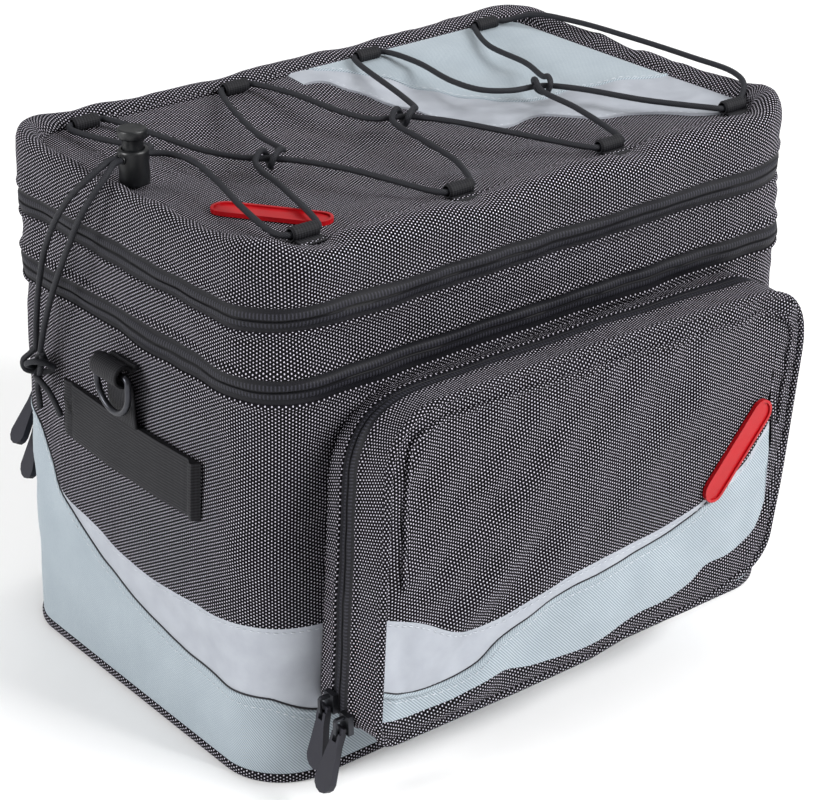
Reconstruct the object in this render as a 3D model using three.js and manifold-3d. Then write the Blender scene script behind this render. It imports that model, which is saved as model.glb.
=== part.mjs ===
// Bicycle rack bag: a soft box with an expansion collar, a zipped lid under an elastic lacing,
// and a zipped pocket on each long side. Millimetres, +Z up, +X along the bag, the lacing's
// cord lock at the -X end, the front pocket on the -Y side. The origin is under the bag's middle.
import * as THREE from 'three';
import { mergeVertices } from 'three/addons/utils/BufferGeometryUtils.js';
import Module from 'manifold-3d';

const wasm = await Module();
wasm.setup();

// Driving dimensions of the main box
const LENGTH = 338; // outer length at the base
const WIDTH = 228; // outer width at the base
const RIM_HEIGHT = 266; // top of the lid's rolled rim
const CORNER_RADIUS = 33; // upright corners
const WALL = 2.4; // padded fabric
const GAP = 0.3; // clearance between neighbouring pieces
const SLANT_GAP = 0.8; // upright clearance along the slanting seams
const END_BULGE = 2; // the soft ends swell this far at mid height
const SLACK = 6; // how far the unfilled top leans

// Heights up the wall
const BINDING_HEIGHT = 5;
const BINDING_PROUD = 1;
const FLOOR_THICKNESS = 2.5;
const EXPANSION_ZIP_HEIGHT = 202.5;
const LID_ZIP_HEIGHT = 236;
const ZIP_TAPE = 12;
const ZIP_PROUD = 1.5;
const PIPING = 2.2;
const PIPING_PROUD = 0.8;

// The coloured swoosh round the body
const WAVE_LOW = 34;
const WAVE_RISE = 99;
const BAND_HEIGHT = 46;

// Lid
const SEAM_DROP = 4; // the sunken panel's seam lies this far under the rim
const PANEL_SAG = 6;
const RIM_CORNER_LIFT = 4;
const RIM_WIDTHS = [18, 10, 10, 10]; // front, far end, back, lock end
const PATCH_THICKNESS = 0.8;

// Elastic lacing
const CORD = 3;
const SLEEVE_LENGTH = 14;
const SLEEVE_RADIUS = 3.2;
const SLEEVE_BORE = 2.05;
const SLEEVE_X = { back: [-121, -32, 53, 135], front: [-121.5, -34, 59, 142] };
const SLEEVE_SETBACK = { back: 19, front: 26 }; // from the wall at the zips to the sleeve's axis

// Cord lock
const LOCK_PLACE = { x: -142.5, y: 15.5 };
const LOCK_SEAT = 0.9; // above the lid's seam, clear of the rim's foot
const LOCK_RADIUS = 7.3;
const LOCK_BARREL = 17.2;
const LOCK_FLOOR = 2;
const LOCK_BORE = 5.5;
const LOCK_CLEARANCE = 0.35;
const LOCK_TRAVEL = 3;
const LOCK_CAP = 4.6;
const LOCK_CAP_NECK = 2;
const LOCK_HOLE_HEIGHT = 13.2; // cords' axis above the barrel's foot
const LOCK_HOLE_WIDTH = 7.8;
const LOCK_CORD_SPACING = 3.6;

// Webbing on the ends
const STRAP_WEBBING = 29;
const TAB_WEBBING = 22;
const WEBBING_THICKNESS = 2.2;
const STRAP = { front: -65, back: 53, low: 126.5 };
const STRAP_BOW = 1;
const TAB_SEWN = 11; // the tab's flat foot
const RING_WIRE = 3.2;
const RING_RISE = 27.4; // bar's axis above the tab's foot
const RING_STANDOFF = 8.2; // bar's axis off the wall
const RING_DROP = 23;
const RING_OFFSET = 6.5; // off the end's middle, towards the front at the lock's end

// Pockets
const POCKET_WALL = 2;
const POCKET_BULGE = 1.2;
const POCKET_CROWN = 3;
const POCKET_TOP_BOW = 3;
const POCKET_EDGE_RADIUS = 5;
const POCKETS = {
  front: { name: 'front', side: -1, depth: 45, flange: 11.5 },
  back: { name: 'back', side: 1, depth: 23, flange: 5.5 },
};
// Corners in order: low lock end, low far end, high far end, high lock end
const POCKET_SEAT = [
  { x: -138, z: 38, radius: 12 },
  { x: 113, z: 38, radius: 15 },
  { x: 130, z: 192, radius: 24 },
  { x: -128, z: 193, radius: 40 },
];
const POCKET_FACE = [
  { x: -138, z: 38, radius: 12 },
  { x: 110, z: 36, radius: 16 },
  { x: 130, z: 200, radius: 26 },
  { x: -128, z: 202, radius: 26 },
];

// Zip sliders and pulls
const SLIDER = { length: 10, width: 7, height: 3, bridge: 2, arch: 4.4, roof: 1.2 };
const PULL = { length: 32, width: 11.8, neck: 6.4, thickness: 3.6, bar: 2, window: 3, windowLength: 8.4 };
const PULL_DROP = 1.4; // the pull's bar hangs this far under the bridge's middle

// Badges
const BADGE = { length: 58, width: 13.5, base: 1.2, rim: 0.9, rimWidth: 1.4 };

const COLOURS = {
  black: { color: 0x2a2a30, roughness: 0.85, metalness: 0 },
  tape: { color: 0x26262c, roughness: 0.8, metalness: 0 },
  webbing: { color: 0x29292b, roughness: 0.85, metalness: 0 },
  cord: { color: 0x26282c, roughness: 0.8, metalness: 0 },
  grey: { color: 0xa9b3b8, roughness: 0.75, metalness: 0 },
  silver: { color: 0xc5c8cf, roughness: 0.45, metalness: 0.1 },
  moulding: { color: 0x2b2f33, roughness: 0.5, metalness: 0 },
  metal: { color: 0x3a3a3d, roughness: 0.4, metalness: 0.8 },
  pull: { color: 0x55555f, roughness: 0.65, metalness: 0 },
  badge: { color: 0xe0303a, roughness: 0.4, metalness: 0 },
};

const bag = new THREE.Group();

function add(name, geometry, finish, parent = bag) {
  const mesh = new THREE.Mesh(geometry, new THREE.MeshStandardMaterial(COLOURS[finish]));
  mesh.name = name;
  parent.add(mesh);
  return mesh;
}

// Closed meshes

function meshFrom(points, triangles) {
  let volume = 0;
  const cross = new THREE.Vector3();
  for (const [a, b, c] of triangles) {
    volume += cross.crossVectors(points[b], points[c]).dot(points[a]);
  }
  const index = triangles.flatMap(([a, b, c]) => (volume < 0 ? [a, c, b] : [a, b, c]));
  const geometry = new THREE.BufferGeometry();
  geometry.setAttribute('position', new THREE.Float32BufferAttribute(points.flatMap((p) => p.toArray()), 3));
  geometry.setIndex(index);
  return geometry;
}

function quad(list, a, b, c, d) {
  list.push([a, b, c], [a, c, d]);
}

// A strip of cloth or a tube: closed cross-sections, one after another, round a loop or with two
// ends. A section runs up the outer side and down the inner side with as many points on each.
function strip(sections, closed) {
  const across = sections[0].length;
  const triangles = [];
  const spans = closed ? sections.length : sections.length - 1;
  for (let i = 0; i < spans; i += 1) {
    const here = i * across;
    const next = ((i + 1) % sections.length) * across;
    for (let k = 0; k < across; k += 1) {
      const up = (k + 1) % across;
      quad(triangles, here + k, next + k, next + up, here + up);
    }
  }
  if (!closed) {
    const last = (sections.length - 1) * across;
    for (let k = 0; k < across / 2 - 1; k += 1) {
      quad(triangles, k, k + 1, across - 2 - k, across - 1 - k);
      quad(triangles, last + k, last + across - 1 - k, last + across - 2 - k, last + k + 1);
    }
  }
  return meshFrom(sections.flat(), triangles);
}

// A cup of cloth: rings from its open edge to its middle outside, and the same inside
function cup(outer, inner) {
  const around = outer[0].length;
  const points = [...outer.flat(), ...inner.flat()];
  const triangles = [];
  const innerStart = outer.length * around;
  const middle = (ring) => ring.reduce((sum, p) => sum.add(p), new THREE.Vector3()).divideScalar(ring.length);
  for (let k = 0; k < around; k += 1) {
    const next = (k + 1) % around;
    for (let j = 0; j < outer.length - 1; j += 1) {
      quad(triangles, j * around + k, j * around + next, (j + 1) * around + next, (j + 1) * around + k);
    }
    for (let j = 0; j < inner.length - 1; j += 1) {
      const row = innerStart + j * around;
      quad(triangles, row + next, row + k, row + around + k, row + around + next);
    }
    quad(triangles, next, k, innerStart + k, innerStart + next);
    triangles.push([(outer.length - 1) * around + k, (outer.length - 1) * around + next, points.length]);
    triangles.push([innerStart + (inner.length - 1) * around + next,
      innerStart + (inner.length - 1) * around + k, points.length + 1]);
  }
  points.push(middle(outer[outer.length - 1]), middle(inner[inner.length - 1]));
  return meshFrom(points, triangles);
}

function solid(geometry) {
  const bare = geometry.clone();
  for (const name of Object.keys(bare.attributes)) {
    if (name !== 'position') bare.deleteAttribute(name);
  }
  const merged = mergeVertices(bare, 1e-4);
  return new wasm.Manifold(new wasm.Mesh({
    numProp: 3,
    vertProperties: new Float32Array(merged.attributes.position.array),
    triVerts: new Uint32Array(merged.index.array),
  }));
}

function geometryOf(manifold) {
  const mesh = manifold.getMesh();
  const geometry = new THREE.BufferGeometry();
  geometry.setAttribute('position', new THREE.BufferAttribute(new Float32Array(mesh.vertProperties), 3));
  geometry.setIndex(new THREE.BufferAttribute(new Uint32Array(mesh.triVerts), 1));
  return geometry;
}

function extrude(outline, depth, holes = [], curveSegments = 8) {
  const shape = Array.isArray(outline) ? new THREE.Shape(outline) : outline;
  shape.holes.push(...holes);
  return new THREE.ExtrudeGeometry(shape, { depth, bevelEnabled: false, steps: 1, curveSegments });
}

// A cord's route keeps its steps on its own points, so a tight turn has short steps
class Route extends THREE.CatmullRomCurve3 {
  constructor(points) {
    super(points.map(([x, y, z]) => new THREE.Vector3(x, y, z)), false, 'centripetal');
  }

  getUtoTmapping(u) {
    return u;
  }
}

function cordTube(points, radius) {
  const sides = 8;
  const section = [];
  for (let k = 0; k < sides; k += 1) {
    const angle = (2 * Math.PI * k) / sides;
    section.push(new THREE.Vector2(radius * Math.cos(angle), radius * Math.sin(angle)));
  }
  return new THREE.ExtrudeGeometry(new THREE.Shape(section), {
    steps: points.length - 1, bevelEnabled: false, extrudePath: new Route(points),
  });
}

// Tables

function mix(a, b, t) {
  return a + (b - a) * t;
}

// Smooth reading of a table's column; the rows are in order of the key column
function read(table, key, column, at) {
  const last = table.length - 1;
  if (at <= table[0][key]) return table[0][column];
  if (at >= table[last][key]) return table[last][column];
  let i = 0;
  while (at > table[i + 1][key]) i += 1;
  const slope = (j) => {
    const a = table[Math.max(j - 1, 0)];
    const b = table[Math.min(j + 1, last)];
    return (b[column] - a[column]) / (b[key] - a[key]);
  };
  const span = table[i + 1][key] - table[i][key];
  const t = (at - table[i][key]) / span;
  return table[i][column] * (2 * t ** 3 - 3 * t ** 2 + 1) + slope(i) * span * (t ** 3 - 2 * t ** 2 + t)
    + table[i + 1][column] * (3 * t ** 2 - 2 * t ** 3) + slope(i + 1) * span * (t ** 3 - t ** 2);
}

// How the slack bag leans in on each side, as shares of SLACK, by share of the rim's height
const LEAN = [
  { level: 0, left: 0, right: 0, front: 0, back: 0 },
  { level: 0.4, left: 0.35, right: -0.1, front: 0, back: 0 },
  { level: 0.75, left: 1, right: -0.3, front: 0, back: 0 },
  { level: 1, left: 1, right: -0.3, front: 0, back: 0 },
];

// The grey panel's upper seam on the front (turn 0 to 1) and the far end (1 to 2), as shares of
// WAVE_RISE. The back and the lock's end repeat it.
const WAVE = [
  { turn: 0, rise: 0.09, band: 0.83 },
  { turn: 0.11, rise: 0, band: 1 },
  { turn: 0.27, rise: 0.04, band: 0.6 },
  { turn: 0.4, rise: 0.16, band: 0.25 },
  { turn: 0.5, rise: 0.3, band: 0.06 },
  { turn: 0.6, rise: 0.47, band: 0 },
  { turn: 0.74, rise: 0.73, band: 0 },
  { turn: 0.9, rise: 1, band: 0 },
  { turn: 1, rise: 0.92, band: 0 },
  { turn: 1.1, rise: 0.82, band: 0 },
  { turn: 1.2, rise: 0.54, band: 0.03 },
  { turn: 1.32, rise: 0.38, band: 0.22 },
  { turn: 1.58, rise: 0.19, band: 0.48 },
  { turn: 1.74, rise: 0.13, band: 0.65 },
  { turn: 1.9, rise: 0.1, band: 0.77 },
  { turn: 2, rise: 0.09, band: 0.83 },
];

function waveHeight(turn) {
  return WAVE_LOW + WAVE_RISE * read(WAVE, 'turn', 'rise', turn % 2);
}

function bandHeight(turn) {
  return Math.max(0, BAND_HEIGHT * read(WAVE, 'turn', 'band', turn % 2));
}

// The wall's plan: a turn of 4 goes round the bag, a turn of 1 along each side, from the middle
// of one rounded corner to the middle of the next. Turn 0 is the front corner at the lock's end.
const CORNER_SHARE = 0.1;
const halfLength = LENGTH / 2;
const halfWidth = WIDTH / 2;
const coreLength = halfLength - CORNER_RADIUS;
const coreWidth = halfWidth - CORNER_RADIUS;
const CORNERS = [[-coreLength, -coreWidth], [coreLength, -coreWidth], [coreLength, coreWidth], [-coreLength, coreWidth]];

function along(turn) {
  const side = Math.floor(turn + 1e-9) % 4;
  const share = turn - Math.floor(turn + 1e-9);
  return { side, share, run: (share - CORNER_SHARE) / (1 - 2 * CORNER_SHARE) };
}

function onWall(turn, z, depth) {
  const { side, share, run } = along(turn);
  const from = CORNERS[side];
  const to = CORNERS[(side + 1) % 4];
  const t = Math.min(1, Math.max(0, run));
  let angle = (side - 1) * (Math.PI / 2);
  if (run < 0) angle -= (Math.PI / 4) * (1 - share / CORNER_SHARE);
  if (run > 1) angle += (Math.PI / 4) * (1 - (1 - share) / CORNER_SHARE);
  let reach = CORNER_RADIUS - depth;
  if (side % 2 === 1) {
    const height = Math.min(1, z / EXPANSION_ZIP_HEIGHT);
    reach += END_BULGE * Math.sin(Math.PI * height) * Math.sin(Math.PI * t);
  }
  let x = mix(from[0], to[0], t) + reach * Math.cos(angle);
  let y = mix(from[1], to[1], t) + reach * Math.sin(angle);
  const level = z / RIM_HEIGHT;
  x *= 1 - (SLACK * read(LEAN, 'level', x < 0 ? 'left' : 'right', level)) / halfLength;
  y *= 1 - (SLACK * read(LEAN, 'level', y < 0 ? 'front' : 'back', level)) / halfWidth;
  return new THREE.Vector3(x, y, z);
}

function turnAtLeft(y) {
  return 3 + CORNER_SHARE + (1 - 2 * CORNER_SHARE) * ((coreWidth - y) / (2 * coreWidth));
}

function turnAlong(side, run) {
  return side + mix(CORNER_SHARE, 1 - CORNER_SHARE, run);
}

const CORNER_STEPS = 2;
const LONG_STEPS = 8;
const END_STEPS = 6;
// The silver band starts and ends on steps of the wall
const BAND_FROM = turnAlong(1, 1 / END_STEPS);
const BAND_TO = turnAlong(2, 0.5);

function turnsRound() {
  const turns = [];
  for (let side = 0; side < 4; side += 1) {
    const steps = side % 2 === 0 ? LONG_STEPS : END_STEPS;
    for (let k = 0; k < CORNER_STEPS; k += 1) turns.push(side + (CORNER_SHARE * k) / CORNER_STEPS);
    for (let k = 0; k <= steps; k += 1) turns.push(side + mix(CORNER_SHARE, 1 - CORNER_SHARE, k / steps));
    for (let k = 1; k < CORNER_STEPS; k += 1) turns.push(side + 1 - CORNER_SHARE * (1 - k / CORNER_STEPS));
  }
  return turns;
}

const ROUND = turnsRound();

function turnsBetween(from, to) {
  const turns = [from];
  for (let lap = 0; lap <= 4; lap += 4) {
    turns.push(...ROUND.map((t) => t + lap).filter((t) => t > from + 0.01 && t < to - 0.01));
  }
  return [...turns, to];
}

// A stretch of wall between two heights that may change along it
function wall({ low, high, proud = 0, thickness = WALL, rows = 1, from, to }) {
  const closed = from === undefined;
  const sections = (closed ? ROUND : turnsBetween(from, to)).map((turn) => {
    const section = [];
    for (const inside of [0, 1]) {
      for (let k = 0; k <= rows; k += 1) {
        const share = inside ? 1 - k / rows : k / rows;
        section.push(onWall(turn, mix(low(turn), high(turn), share), -proud + inside * thickness));
      }
    }
    return section;
  });
  return strip(sections, closed);
}

// Floor and body

function buildBody() {
  const floorInset = WALL + GAP - BINDING_PROUD + WALL;
  const floorPoints = ROUND.map((turn) => onWall(turn, 0, floorInset)).map((p) => new THREE.Vector2(p.x, p.y));
  add('floor_panel', extrude(floorPoints, FLOOR_THICKNESS), 'black');
  add('base_binding', wall({
    low: () => 0, high: () => BINDING_HEIGHT, proud: BINDING_PROUD, thickness: WALL + WALL,
  }), 'black');
  add('grey_bottom_panel', wall({ low: () => BINDING_HEIGHT + GAP, high: waveHeight }), 'grey');
  const pipingTop = (turn) => waveHeight(turn) + SLANT_GAP + PIPING;
  add('body_piping', wall({
    low: (turn) => waveHeight(turn) + SLANT_GAP, high: pipingTop, proud: PIPING_PROUD, thickness: WALL + PIPING_PROUD,
  }), 'tape');
  const bandTop = (turn) => pipingTop(turn) + SLANT_GAP + bandHeight(turn);
  for (const [name, lap] of [['reflective_band_lock_end', 2], ['reflective_band_far_end', 0]]) {
    add(name, wall({
      low: (turn) => pipingTop(turn) + SLANT_GAP, high: bandTop, from: BAND_FROM + lap, to: BAND_TO + lap,
    }), 'silver');
  }
  const zipFoot = EXPANSION_ZIP_HEIGHT - ZIP_TAPE / 2;
  add('body_wall', wall({
    low: (turn) => bandTop(turn) + SLANT_GAP, high: () => zipFoot - GAP, rows: 2,
  }), 'black');
  add('expansion_zip', wall({ low: () => zipFoot, high: () => zipFoot + ZIP_TAPE, proud: ZIP_PROUD }), 'tape');
  const lidZipFoot = LID_ZIP_HEIGHT - ZIP_TAPE / 2;
  add('expansion_collar', wall({
    low: () => zipFoot + ZIP_TAPE + GAP, high: () => lidZipFoot - GAP,
  }), 'black');
  const hingeFrom = 2 + 2 * CORNER_SHARE;
  const hingeTo = 3 - 2 * CORNER_SHARE;
  const tapeGap = GAP / LENGTH;
  add('lid_zip', wall({
    low: () => lidZipFoot, high: () => lidZipFoot + ZIP_TAPE, proud: ZIP_PROUD,
    from: hingeTo + tapeGap, to: 4 + hingeFrom - tapeGap,
  }), 'tape');
  add('lid_hinge', wall({
    low: () => lidZipFoot, high: () => lidZipFoot + ZIP_TAPE, from: hingeFrom, to: hingeTo,
  }), 'black');
}

// Lid

const lidFoot = LID_ZIP_HEIGHT + ZIP_TAPE / 2 + GAP;

function rimAt(turn) {
  const { side, share } = along(turn);
  const toCorner = Math.min(share, 1 - share);
  const near = share < 0.5 ? RIM_WIDTHS[(side + 3) % 4] : RIM_WIDTHS[(side + 1) % 4];
  const blend = Math.min(1, toCorner / (2 * CORNER_SHARE));
  const width = mix((near + RIM_WIDTHS[side]) / 2, RIM_WIDTHS[side], blend);
  return { width, top: RIM_HEIGHT + RIM_CORNER_LIFT * (1 - Math.min(1, toCorner / (2 * CORNER_SHARE))) };
}

function panelHeight(x, y) {
  const crown = Math.max(0, 1 - (x / halfLength) ** 2) * Math.max(0, 1 - (y / halfWidth) ** 2);
  return RIM_HEIGHT - SEAM_DROP - PANEL_SAG * crown;
}

// The rim's section: share of the rim's width inwards, and share of its rise from the wall
const RIM_SECTION = [
  { across: 0, up: 0 },
  { across: -0.06, up: 0.45 },
  { across: 0.02, up: 0.8 },
  { across: 0.25, up: 0.96 },
  { across: 0.6, up: 1 },
  { across: 0.92, up: 0.93 },
];
const RIM_SECTION_INSIDE = [
  { across: 0, up: 0 },
  { across: 0.02, up: 0.8 },
  { across: 0.6, up: 0.9 },
];
const PANEL_RINGS = { outer: [0.92, 0.64, 0.32], inner: [0.7] };

function lidRings(section, shares, sink) {
  const rings = section.map(({ across, up }) => ROUND.map((turn) => {
    const rim = rimAt(turn);
    const rise = rim.top - lidFoot;
    return onWall(turn, lidFoot + rise * up - (up > 0.85 ? sink : 0), across * rim.width + sink);
  }));
  const seam = ROUND.map((turn) => {
    const p = onWall(turn, RIM_HEIGHT - SEAM_DROP, rimAt(turn).width + WALL + sink);
    return p.setZ(panelHeight(p.x, p.y) - sink);
  });
  rings.push(seam);
  for (const share of shares) {
    rings.push(seam.map((p) => {
      const x = p.x * share;
      const y = p.y * share;
      return new THREE.Vector3(x, y, panelHeight(x, y) - sink);
    }));
  }
  return rings;
}

// The lid's grey corner, as shares of the half length and half width: from the black cloth's edge
// the silver band begins, and from the grey cloth's edge the grey panel
const LID_COLOUR_EDGES = [
  { x: 0.03, silver: 0.76, grey: 0.92 },
  { x: 0.11, silver: 0.7, grey: 0.87 },
  { x: 0.2, silver: 0.36, grey: 0.76 },
  { x: 0.26, silver: -0.04, grey: 0.65 },
  { x: 0.33, silver: -0.13, grey: 0.46 },
  { x: 0.46, silver: -0.15, grey: 0.1 },
  { x: 0.56, silver: -0.35, grey: 0.03 },
  { x: 0.67, silver: -0.45, grey: -0.03 },
  { x: 0.77, silver: -0.72, grey: -0.11 },
  { x: 0.9, silver: -0.73, grey: -0.23 },
];

function lidPatch(lowColumn, highOf, from, to, steps) {
  const sections = [];
  for (let i = 0; i <= steps; i += 1) {
    const share = mix(from, to, i / steps);
    const x = share * halfLength;
    const low = read(LID_COLOUR_EDGES, 'x', lowColumn, share) * halfWidth;
    const high = highOf(share);
    const section = [];
    for (const above of [GAP + PATCH_THICKNESS, GAP]) {
      for (let k = 0; k <= 2; k += 1) {
        const y = mix(low, high, above === GAP ? 1 - k / 2 : k / 2);
        section.push(new THREE.Vector3(x, y, panelHeight(x, y) + above));
      }
    }
    sections.push(section);
  }
  return strip(sections, false);
}

function buildLid() {
  add('lid_shell', cup(lidRings(RIM_SECTION, PANEL_RINGS.outer, 0),
    lidRings(RIM_SECTION_INSIDE, PANEL_RINGS.inner, WALL)), 'black');
  // The colours end in front of the back sleeves, which stand on the black cloth
  const seamGap = 2;
  const backEdge = sleeveY.back - SLEEVE_RADIUS - 2 * GAP;
  const greyEdge = (share) => read(LID_COLOUR_EDGES, 'x', 'grey', share) * halfWidth;
  add('lid_reflective_band', lidPatch('silver', (share) => Math.min(backEdge, greyEdge(share)) - seamGap,
    LID_COLOUR_EDGES[0].x, 0.88, 14), 'silver');
  add('lid_grey_panel', lidPatch('grey', () => backEdge, 0.22, 0.88, 10), 'grey');
}

// Badge: a bare pill with a raised rim

function pill(length, width) {
  const shape = new THREE.Shape();
  const radius = width / 2;
  shape.absarc(length / 2 - radius, 0, radius, -Math.PI / 2, Math.PI / 2);
  shape.absarc(-length / 2 + radius, 0, radius, Math.PI / 2, 1.5 * Math.PI);
  return shape;
}

function badge() {
  const base = solid(extrude(pill(BADGE.length, BADGE.width), BADGE.base, [], 4));
  const rim = extrude(pill(BADGE.length, BADGE.width), BADGE.base + BADGE.rim,
    [pill(BADGE.length - 2 * BADGE.rimWidth, BADGE.width - 2 * BADGE.rimWidth)], 4);
  return geometryOf(base.add(solid(rim)));
}

// Elastic lacing

const sleeveY = { back: halfWidth - SLEEVE_SETBACK.back, front: -(halfWidth - SLEEVE_SETBACK.front) };

function sleeveHeight(side, index) {
  return panelHeight(SLEEVE_X[side][index], sleeveY[side]) + SLEEVE_RADIUS + 2 * GAP;
}

function sleeve() {
  const ring = new THREE.Shape();
  ring.absarc(0, 0, SLEEVE_RADIUS, 0, 2 * Math.PI);
  const bore = new THREE.Path();
  bore.absarc(0, 0, SLEEVE_BORE, 0, 2 * Math.PI, true);
  const geometry = extrude(ring, SLEEVE_LENGTH, [bore], 5);
  geometry.translate(0, 0, -SLEEVE_LENGTH / 2);
  geometry.rotateY(Math.PI / 2);
  return geometry;
}

// Where two strands hook round each other, and the height of the strand that runs straight on
const HOOKS = [
  { x: -80, y: -4, towards: [12, -13] },
  { x: 6, y: 3, towards: [12, -12] },
  { x: 90, y: -4, towards: [20, -6] },
];
const STRAND_HEIGHT = 264.6;

// The hooking strand's turn: along the straight strand, across it towards the front, and up
const HOOK_TURN = [
  { along: 4.6, across: -9, up: 1.6 },
  { along: 4.2, across: -2, up: 3.7 },
  { along: 2.8, across: 3.9, up: 2 },
  { along: 1.2, across: 3.4, up: -2.6 },
  { along: -1.2, across: -3.2, up: -2.9 },
  { along: -3, across: -4, up: 1.6 },
  { along: -4.2, across: 0.6, up: 3.9 },
  { along: -4.8, across: 9, up: 1.2 },
];

function hookTurn({ x, y, towards }, reversed) {
  const size = Math.hypot(...towards);
  const [ax, ay] = [towards[0] / size, towards[1] / size];
  const points = HOOK_TURN.map((row) => [
    x + row.along * ax + row.across * ay, y + row.along * ay - row.across * ax, STRAND_HEIGHT + row.up,
  ]);
  return reversed ? points.reverse() : points;
}

function through(side, index, direction, aside = [4.5, 4.5]) {
  const x = SLEEVE_X[side][index];
  const y = sleeveY[side];
  const z = sleeveHeight(side, index);
  const inwards = side === 'back' ? -1 : 1;
  const reach = SLEEVE_LENGTH / 2;
  return [
    [x - direction * (reach + 4), y + inwards * aside[0], z],
    [x - direction * (reach + 0.8), y, z],
    [x + direction * (reach + 0.8), y, z],
    [x + direction * (reach + 4), y + inwards * aside[1], z],
  ];
}

const lockFoot = panelHeight(LOCK_PLACE.x - LOCK_RADIUS, LOCK_PLACE.y) + LOCK_SEAT;
const lockCordHeight = lockFoot + LOCK_HOLE_HEIGHT;
const lockMouth = LOCK_PLACE.x - LOCK_RADIUS;

function laceRoute() {
  const inner = LOCK_PLACE.y + LOCK_CORD_SPACING / 2;
  const outer = LOCK_PLACE.y - LOCK_CORD_SPACING / 2;
  const h = STRAND_HEIGHT;
  const [c1, c2, c3] = HOOKS;
  return [
    [lockMouth, inner, lockCordHeight], [LOCK_PLACE.x + LOCK_RADIUS + 1, inner, lockCordHeight],
    [-128.2, 23, lockCordHeight - 1], [-126, 36, h + 6.4], [-127.2, 58, h + 1.8],
    ...through('back', 0, 1),
    [-104, 62, h], [-98.5, 28, h], [-90, 7, h], [c1.x, c1.y, h], [-71, -15, h], [-59, -41, h],
    ...through('front', 1, 1),
    [-14, -62, h], [-8, -30, h], ...hookTurn(c2, true), [25, 30, h],
    ...through('back', 2, 1),
    [64.5, 66, h], [59, 30, h], [62, 10, h], [73, 0, h], [c3.x, c3.y, h], [101, -19, h], [115, -54, h],
    ...through('front', 3, 1),
    [160, -78, h + 5], [168, -62, h + 5.9], [170.5, -30, h + 5.2], [169.5, 12, h + 5.2], [164.5, 56, h + 5.6],
    [156.5, 80, h + 5.2],
    ...through('back', 3, -1, [2.2, 4.5]),
    [112, 64, h], [108, 30, h], ...hookTurn(c3, false), [80.5, -40, h],
    ...through('front', 2, -1),
    [31, -46, h], [18, -14, h], [c2.x, c2.y, h], [-8, 10, h], [-13.5, 28, h], [-16, 66, h],
    ...through('back', 1, -1),
    [-56, 58, h], [-66, 22, h], ...hookTurn(c1, false), [-97, -38, h],
    ...through('front', 0, -1),
    [-129.5, -54, h + 2.2], [-123.5, -24, h + 5.4], [-122.3, -2, h + 8.4],
    [-127, 9.5, lockCordHeight - 0.8], [LOCK_PLACE.x + LOCK_RADIUS + 1, outer, lockCordHeight],
    [lockMouth, outer, lockCordHeight],
  ];
}

// The lacing's two free ends hang from the lock to the knot, over the rim and down the end
const KNOT = { x: -174.5, y: 63.5, z: 161, ring: 6.4 };
const FREE_ENDS = [
  [[-156, 14.8, 275.6], [-162.5, 12.2, 274.5], [-169, 13.5, 270], [-173.5, 20, 262], [-175.3, 28.5, 252],
    [-175.6, 37.5, 240.5], [-175.6, 45.5, 228], [-175.4, 52, 214], [-175, 57.5, 199], [-174.8, 61.3, 185],
    [-174.6, 63.4, 175], [-174.5, 64.2, 169.7]],
  [[-156, 10.9, 275.2], [-162, 7.4, 272.5], [-168, 7, 267], [-172, 11, 258.5], [-174, 17, 248],
    [-175, 22.5, 238], [-175.3, 29.5, 227], [-175.3, 36.5, 216], [-175, 44.5, 203], [-174.8, 52.5, 187.5],
    [-174.6, 57.8, 175.5], [-174.5, 60, 169.3]],
];

function buildLacing() {
  for (const side of ['back', 'front']) {
    SLEEVE_X[side].forEach((x, i) => {
      add(`lace_sleeve_${side}_${i + 1}`, sleeve(), 'webbing').position.set(x, sleeveY[side], sleeveHeight(side, i));
    });
  }
  add('lace_cord', cordTube(laceRoute(), CORD / 2), 'cord');
  const starts = [LOCK_PLACE.y + LOCK_CORD_SPACING / 2, LOCK_PLACE.y - LOCK_CORD_SPACING / 2];
  FREE_ENDS.forEach((points, i) => {
    const exit = [1, 2.5].map((out) => [lockMouth - GAP * out, starts[i], lockCordHeight]);
    add(`free_end_${i + 1}`, cordTube([...exit, ...points], CORD / 2), 'cord');
  });
  add('end_knot', knot(), 'cord');
}

// The overhand knot that joins both ends, with the two short tails under it
function knot() {
  const lump = new THREE.SphereGeometry(1, 10, 6);
  lump.scale(KNOT.ring * 0.95, KNOT.ring * 1.35, KNOT.ring * 1.25);
  lump.translate(KNOT.x, KNOT.y, KNOT.z);
  const tails = [
    [[KNOT.x, KNOT.y + 1, KNOT.z], [KNOT.x, KNOT.y + 2, KNOT.z - 10], [KNOT.x + 1, KNOT.y + 2.5, KNOT.z - 21]],
    [[KNOT.x, KNOT.y - 2, KNOT.z], [KNOT.x, KNOT.y - 8, KNOT.z - 9], [KNOT.x - 0.5, KNOT.y - 15, KNOT.z - 17]],
  ];
  return geometryOf(tails.reduce((sum, tail) => sum.add(solid(cordTube(tail, CORD / 2))), solid(lump)));
}

// Cord lock: a barrel and a sprung button whose slot lets the cords run when it is pressed

function lathe(profile, segments) {
  const geometry = new THREE.LatheGeometry(profile.map(([r, z]) => new THREE.Vector2(r, z)), segments);
  geometry.rotateX(Math.PI / 2);
  return geometry;
}

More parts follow.
